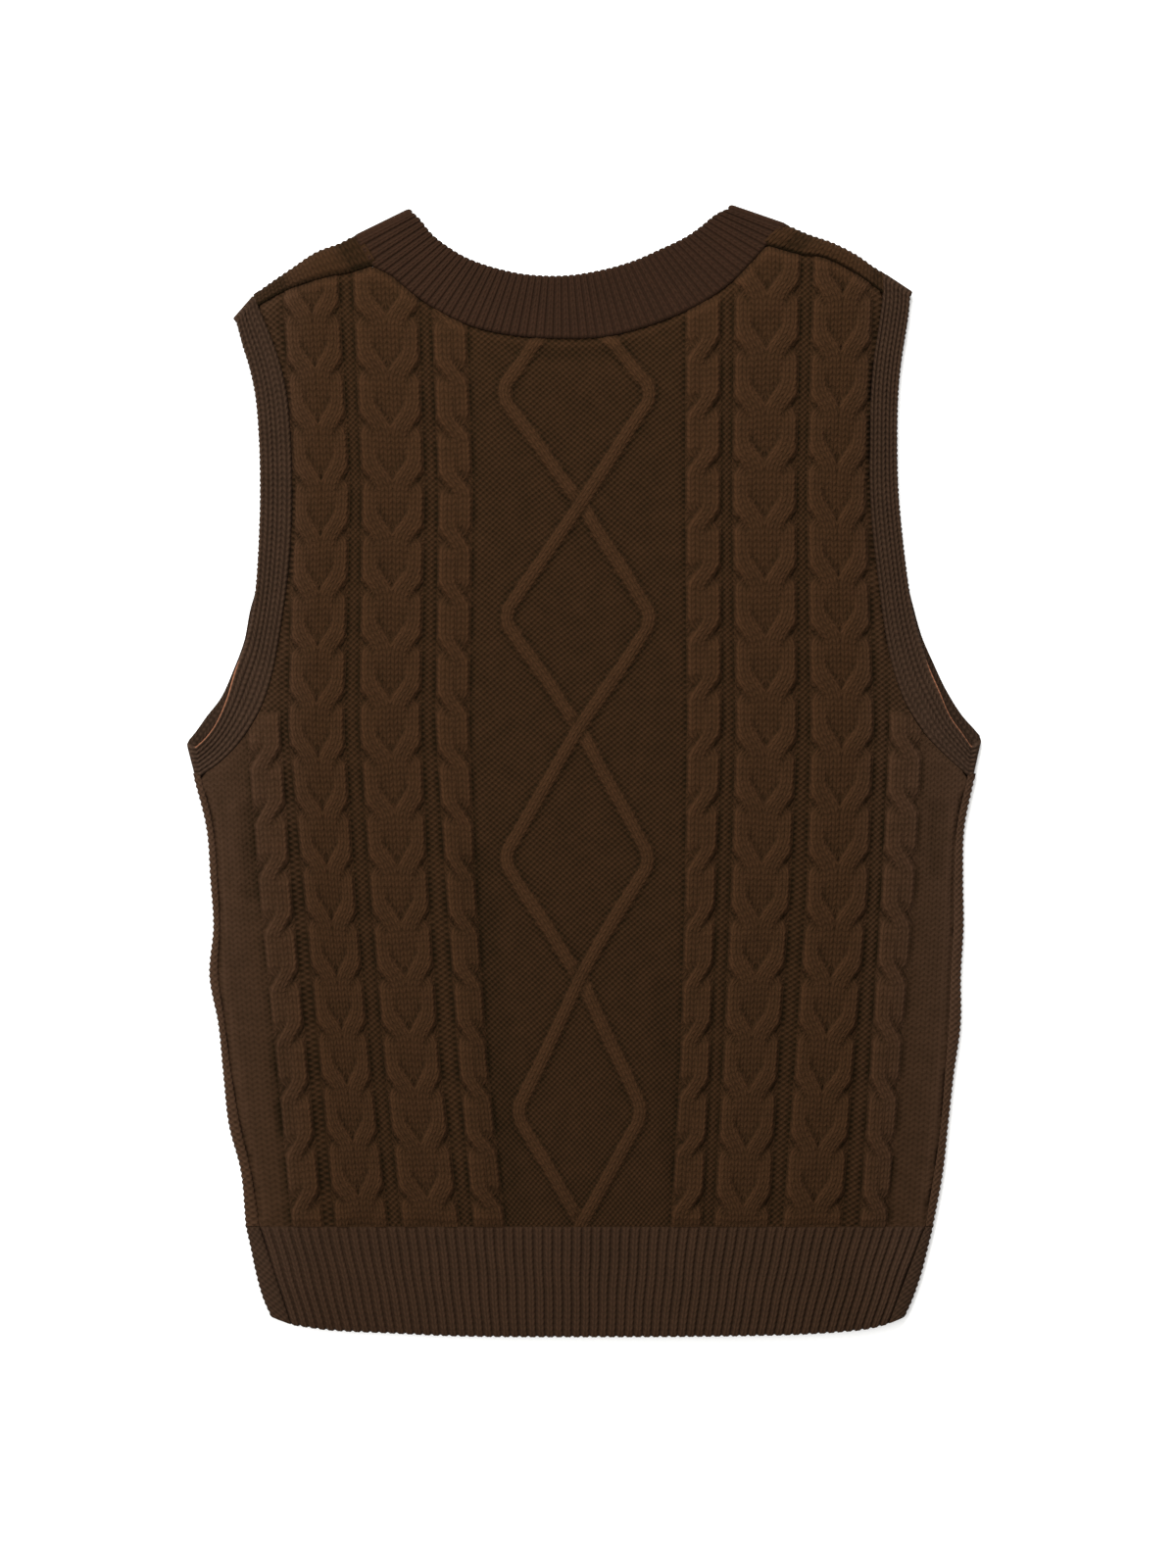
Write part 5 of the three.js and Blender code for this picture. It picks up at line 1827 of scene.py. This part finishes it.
@dataclass
class BackPanel:
    """The back: purl ground, cables, ropes and diamonds, lofted a little off the front.

    Attributes:
        arms: the left and right armbands.
        neck: the neckband.
        rolls: the front's rolled edges, at whose seams it ends.
        chart: its cables and cords.
        name: name of its object.
        top: height to which its grid goes.
        overreach: half width of the grid.
        margin: how far a cable's cells reach from its middle, in half widths.
        row_step: height of the grid's cells.
        plain_step: width of a cell between cables.
        cable_step: width of a cell on a cable.
        underarm: height at which the armholes begin.
        arm_tops: heights at which the left and right ones end.
        numbered: height at which the grid's columns are numbered by their place across.
        loft: how far its inner side lies off the front.
        loft_reach: distance from the seams in which it rises to that.
        crease_reach: distance from the seams in which creases come in.
        press_reach: distance from the seams in which the relief reaches its height.
        seam_dip: how far the outer side sinks at a seam.
        seam_reach: distance from a seam in which it does so.
        thinnest: least thickness of its wall.
        painted_light_and_shade_limits: least and greatest painted shade from its hollows; below nought
        it is painted light on its crests.
        side_start: distance from the middle where the purl ground begins to be stretched smooth.
        side_ease: width in which that comes in.
    """

    arms: tuple[Armband, Armband]
    neck: Neckband
    rolls: SideRolls
    chart: CableChart = CableChart()
    name: str = "back_panel_knit"
    top: float = 612.0
    overreach: float = 224.0
    margin: float = 1.02
    row_step: float = 1.72
    plain_step: float = 1.5
    cable_step: float = 1.12
    underarm: float = 309.0
    arm_tops: Pair = (567.0, 574.0)
    numbered: float = 337.0
    loft: float = 1.2
    loft_reach: float = 28.0
    crease_reach: float = 10.0
    press_reach: float = 6.0
    seam_dip: float = 1.5
    seam_reach: float = 3.0
    thinnest: float = 1.1
    painted_light_and_shade_limits: Pair = (-1.2, 1.05)
    side_start: float = 176.0
    side_ease: float = 18.0

    def outline(self) -> Outline:
        """The seam line all round the panel, from its left hem corner up and round."""
        seams = (arm.rungs()[0].seam[2:-2:2] for arm in self.arms)
        left, right = (
            seam[(seam[:, 1] > self.underarm) & (seam[:, 1] < top)] for seam, top in zip(seams, self.arm_tops)
        )
        rolls = self.rolls
        return Outline(
            np.vstack(
                [
                    (PANEL_FEET[0], HEM_TOP),
                    rolls.left.seam[4:-1:4],
                    left[::-1],
                    rolls.left_shoulder.seam[1:-1:3],
                    self.neck.seam_between_corners()[1:-1],
                    rolls.right_shoulder.seam[1:-1:3],
                    right,
                    rolls.right.seam[-2:3:-4],
                    (PANEL_FEET[1], HEM_TOP),
                ]
            )
        )

    def stirred(self, x: np.ndarray, up: np.ndarray) -> np.ndarray:
        """Heights as they would be in even knitting: rows wander in two sine waves."""
        return up + 0.8 * np.sin(x / 13 + up / 57) + 0.45 * np.sin(x / 5.1 - up / 23)

    def column_sides(self, up: np.ndarray) -> np.ndarray:
        """Sides of the cables and of the grid.

        Args:
            up: (n,) heights.

        Returns:
            Places across, a row of n for each side, from the left.
        """
        middles, halves = self.chart.columns(up)
        side = np.full((1, len(up)), self.overreach)
        reach = self.margin * halves
        return np.sort(np.concatenate([-side, middles - reach, middles + reach, side]), axis=0)

    def grid(self) -> tuple[np.ndarray, np.ndarray, np.ndarray]:
        """Works out the grid, whose columns lean with the cables.

        Each column keeps its share of the way between the sides of the cables next to it, and
        its number is its place across at one height.

        Returns:
            Places across and up, and the columns' numbers, all shaped as the grid.
        """
        rows = np.arange(HEM_TOP - 2, self.top, self.row_step)
        sides = self.column_sides(rows)
        reference = self.column_sides(np.array([self.numbered]))[:, 0]
        numbers = [reference[:1]]
        for start, end, on_cable in zip(reference, reference[1:], [False, True] * len(CABLES) + [False]):
            steps = round((end - start) / (self.cable_step if on_cable else self.plain_step))
            numbers.append(np.linspace(start, end, steps + 1)[1:])
        columns = np.concatenate(numbers)
        which = np.clip(np.searchsorted(reference, columns, side="right") - 1, 0, len(reference) - 2)
        share = (columns - reference[which]) / (reference[which + 1] - reference[which])
        across = sides[which].T * (1 - share) + sides[which + 1].T * share
        return across, np.broadcast_to(rows[:, None], across.shape), np.broadcast_to(columns, across.shape)

    def lift(self, depth: np.ndarray, x: np.ndarray, up: np.ndarray) -> np.ndarray:
        """How far the inner side lies off the front: soft loft from the seams, with creases.

        Args:
            depth: distances from the seams.
            x: places across.
            up: places up.

        Returns:
            The lift, shaped as x.
        """
        loft = self.loft * smooth(depth / self.loft_reach)
        creases = sum(crease.lift(x, up) for crease in CREASES) * smooth(depth / self.crease_reach)
        return np.maximum(loft + creases, 0)

    def outer(self, depth: np.ndarray, x: np.ndarray, up: np.ndarray) -> np.ndarray:
        """Height of the outer side: the lift and the wall with its relief.

        At the seams the relief is pressed to 45 per cent and the wall dips, but for the hem's
        seam. Round the underarms the dip is only a fifth as deep.

        Args:
            depth: distances from the seams.
            x: places across.
            up: places up.

        Returns:
            Heights above the table, shaped as x.
        """
        press = 0.45 + 0.55 * smooth(depth / self.press_reach)
        dip = self.seam_dip * (1 - smooth(depth / self.seam_reach)) * smooth((up - HEM_TOP) / 8)
        dip = dip * (1 - 0.8 * smooth((390 - up) / 40) * smooth((up - 295) / 10))
        wall = GROUND + self.chart.relief(x, self.stirred(x, up)) * press - dip
        return BACK_BOTTOM + self.lift(depth, x, up) + np.maximum(wall, self.thinnest)

    def build(self, finish: bpy.types.Material) -> bpy.types.Object:
        """Builds the panel: a fine outer side, a plain inner side and a rim between them.

        Cells of the grid that lie inside the seam line are kept, and the points on their border
        move to the nearest place on that line.

        Args:
            finish: its material.

        Returns:
            The piece.
        """
        across, up, numbers = self.grid()
        depth, feet = self.outline().nearest(across, up)
        kept = cell_corners(depth).min(-1) > -0.35 * self.plain_step
        cells = grid_cells(*across.shape)[kept]
        uses = np.bincount(cells.ravel(), minlength=across.size).reshape(across.shape)
        border = (uses > 0) & (uses < 4)
        across, up = (np.where(border, feet[..., i], values) for i, values in enumerate((across, up)))
        depth = np.where(border, 0, depth)
        z = self.outer(np.maximum(depth, 0), across, up)
        # Painted shade in the hollows of the relief and along the creases' troughs, and painted light on its
        # crests.
        trough = np.maximum(-sum(crease.lift(across, up) for crease in CREASES), 0)
        painted_light_and_shade = np.clip(blurred(z, 2) - z, *self.painted_light_and_shade_limits) + 0.3 * trough
        even = self.stirred(across, up)
        stitches, plain = self.chart.stitches(*(cell_corners(values) for values in (across, even, numbers)))
        beside = np.abs(cell_corners(numbers).mean(-1)) - self.side_start
        plain = np.maximum(plain, 0.5 * smooth(beside / self.side_ease))
        used = uses.ravel() > 0
        points = np.dstack([across, up, z]).reshape(-1, 3)[used]
        cells = (np.cumsum(used) - 1)[cells]
        outer = Patch(points, cells, stitches[kept], plain[kept], painted_light_and_shade.ravel()[used])
        return knit_piece(self.name, [outer, *self.lining(points, cells)], finish)

    def lining(self, points: np.ndarray, cells: np.ndarray) -> list[Patch]:
        """The rim below the border of the outer side, and the plain inner side.

        The border is made of the edges that only one cell has.

        Args:
            points: (n, 3) points of the outer side.
            cells: (m, 4) its cells.

        Returns:
            The rim and the inner side.
        """
        edges = np.concatenate([cells[:, [i, (i + 1) % 4]] for i in range(4)])
        _, first, counts = np.unique(np.sort(edges, axis=1), axis=0, return_index=True, return_counts=True)
        top = points[self.loop_of(edges[first[counts == 1]])]
        shape = Outline(top[:, :2])

        def inner(x: np.ndarray, height: np.ndarray) -> np.ndarray:
            """Height of the inner side."""
            depth, _ = shape.nearest(x, height)
            return BACK_BOTTOM + self.lift(np.where(depth < 0.01, 0, depth), x, height)

        low = at_height(shape.corners, BACK_BOTTOM)
        return [wall_patch(low, top), filled_patch(shape.corners, inner, 10.0)]

    def loop_of(self, rim: np.ndarray) -> np.ndarray:
        """Puts the border's edges in order round the panel.

        The number of edges that are left from each point to the first one is found by doubling:
        a way and the way that follows it are put together until all of them end there.

        Args:
            rim: (n, 2) point numbers of the edges, which make one closed line.

        Returns:
            (n,) point numbers in order, from the start of the first edge.
        """
        numbers, edges = np.unique(rim, return_inverse=True)
        edges = edges.reshape(rim.shape)
        onto = np.empty(len(numbers), int)
        onto[edges[:, 0]] = edges[:, 1]
        onto[edges[0, 0]] = edges[0, 0]
        left = np.ones(len(numbers), int)
        left[edges[0, 0]] = 0
        for _ in range(len(numbers).bit_length()):
            left = left + left[onto]
            onto = onto[onto]
        return numbers[np.argsort(-left % len(numbers))]

    def cut(self) -> Cut:
        """Width, length and area of the panel laid flat."""
        return flat_cut(self.outline().corners)


@dataclass
class Studio:
    """A pale paper sweep, soft light from all round and a camera straight above.

    Attributes:
        lens: the camera's focal length.
        sensor: width of its sensor.
        centre: place that it stands over.
        floor_size: width of the floor, in metres.
        floor_drop: how far the floor lies below the vest, in metres.
        ambient: strength of the light from all round.
        lamps: name, place and size in metres, and power of each lamp.
    """

    lens: float = 85.0
    sensor: float = 36.0
    centre: Pair = (1.9, -7.6)
    floor_size: float = 8.0
    floor_drop: float = 0.0003
    ambient: float = 0.5
    lamps: tuple[tuple[str, tuple[float, float, float], float, float], ...] = (
        ("key", (-0.25, 1.61, 1.4), 1.0, 56.5),
        ("fill", (-1.1, -0.3, 1.3), 1.4, 18.0),
    )

    def build(self) -> None:
        """Builds the floor, the lights and the camera."""
        self.floor()
        self.lights()
        self.camera()

    def floor(self) -> None:
        """A floor of uncoated white paper: matt, and bright enough by its own light to look white."""
        material = bpy.data.materials.new("white_paper_sweep")
        material.use_nodes = True
        surface = material.node_tree.nodes["Principled BSDF"]
        for name, value in (
            ("Base Color", linear("#f4f4f2")),
            ("Roughness", 0.9),
            ("Specular IOR Level", 0.1),
            ("Emission Color", linear("#ffffff")),
            ("Emission Strength", 0.3),
        ):
            surface.inputs[name].default_value = value
        half = self.floor_size / 2
        corners = np.array([(-half, -half), (half, -half), (half, half), (-half, half)])
        mesh = bpy.data.meshes.new("floor")
        mesh.from_pydata(at_height(corners, -self.floor_drop), [], [(0, 1, 2, 3)])
        mesh.materials.append(material)
        floor = bpy.data.objects.new(Layer.FLOOR.value, mesh)
        bpy.context.scene.collection.objects.link(floor)

    def lights(self) -> None:
        """Even light from all round, and two large soft lamps that give the knitting form."""
        scene = bpy.context.scene
        scene.view_settings.view_transform = "Standard"
        world = bpy.data.worlds.new("studio")
        world.use_nodes = True
        background = world.node_tree.nodes["Background"]
        background.inputs["Color"].default_value = linear("#ffffff")
        background.inputs["Strength"].default_value = self.ambient
        scene.world = world
        for name, place, size, power in self.lamps:
            lamp = bpy.data.lights.new(name, "AREA")
            lamp.size, lamp.energy = size, power
            holder = bpy.data.objects.new(name, lamp)
            holder.location = place
            holder.rotation_euler = self.aim(place)
            scene.collection.objects.link(holder)

    def aim(self, place: tuple[float, float, float]) -> tuple[float, float, float]:
        """Turn that points a lamp at the vest."""
        x, y, z = place
        return (0.0, float(np.arctan2(np.hypot(x, y), z)), float(np.arctan2(y, x)))

    def camera(self) -> None:
        """A camera straight above, as far off as makes a pixel of the frame its real size."""
        lens = bpy.data.cameras.new("camera")
        lens.lens, lens.sensor_width = self.lens, self.sensor
        camera = bpy.data.objects.new("camera", lens)
        distance = max(IMAGE) * PIXEL * self.lens / self.sensor
        camera.location = (self.centre[0] * MM, self.centre[1] * MM, (distance + FOLD_TOP) * MM)
        bpy.context.scene.collection.objects.link(camera)
        bpy.context.scene.camera = camera


# The same yarn throughout: brushed acrylic and wool, dyed dark brown. Plain stitches show as
# slanted legs, purl ones as staggered bumps with painted shade between them, and ribs as pairs
# of legs between grooves. Each finish's dark colour is painted shade.
CABLE_YARN = YarnFinish("cable_knit_brown_wool", light="#3d2716", dark="#170e03")
RIB_YARN = YarnFinish("rib_knit_brown_wool", light="#3b281b", dark="#20160d", spread=1.2, depth=0.5)
# The neckband's copy of the rib yarn is darker: painted shade that offsets the key lamp on the neck's side of
# the vest.
SHADED_NECK_YARN = YarnFinish("neck_rib_brown_wool_painted_shade", light="#332015", dark="#1d130b", spread=1.2, depth=0.5)
BAND_YARN = YarnFinish("band_knit_brown_wool", light="#3c2a1d", dark="#1f150d", depth=0.7, row_depth=0.3)


def main() -> None:
    """Builds the studio and the pieces in order."""
    logging.basicConfig(level=logging.INFO, format="%(message)s")
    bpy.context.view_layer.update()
    Studio().build()
    cable, rib, collar, band = (
        knit_material(finish) for finish in (CABLE_YARN, RIB_YARN, SHADED_NECK_YARN, BAND_YARN)
    )
    arms = (Armband("armband_left_knit", LEFT_ARM), Armband("armband_right_knit", RIGHT_ARM))
    neck, rolls = Neckband(), SideRolls.measured()
    pieces = (
        (FrontPanel(arms, neck, rolls), cable, "front_panel", "cable_knit", Layer.FLOOR),
        (FrontHem(), rib, "front_hem_rib", "rib_knit", Layer.FLOOR),
        (BackPanel(arms, neck, rolls), cable, "back_panel", "cable_knit", Layer.FRONT),
        (BackHem(), rib, "back_hem_rib", "rib_knit", Layer.FRONT_HEM),
        (neck, collar, "neckband", "rib_knit", Layer.FLOOR),
        (arms[0], band, "armband_left", "band_knit", Layer.FLOOR),
        (arms[1], band, "armband_right", "band_knit", Layer.FLOOR),
    )
    for part, finish, node, slot, layer in pieces:
        declare(part.build(finish), node, slot, layer, *part.cut())


if __name__ == "__main__":
    main()
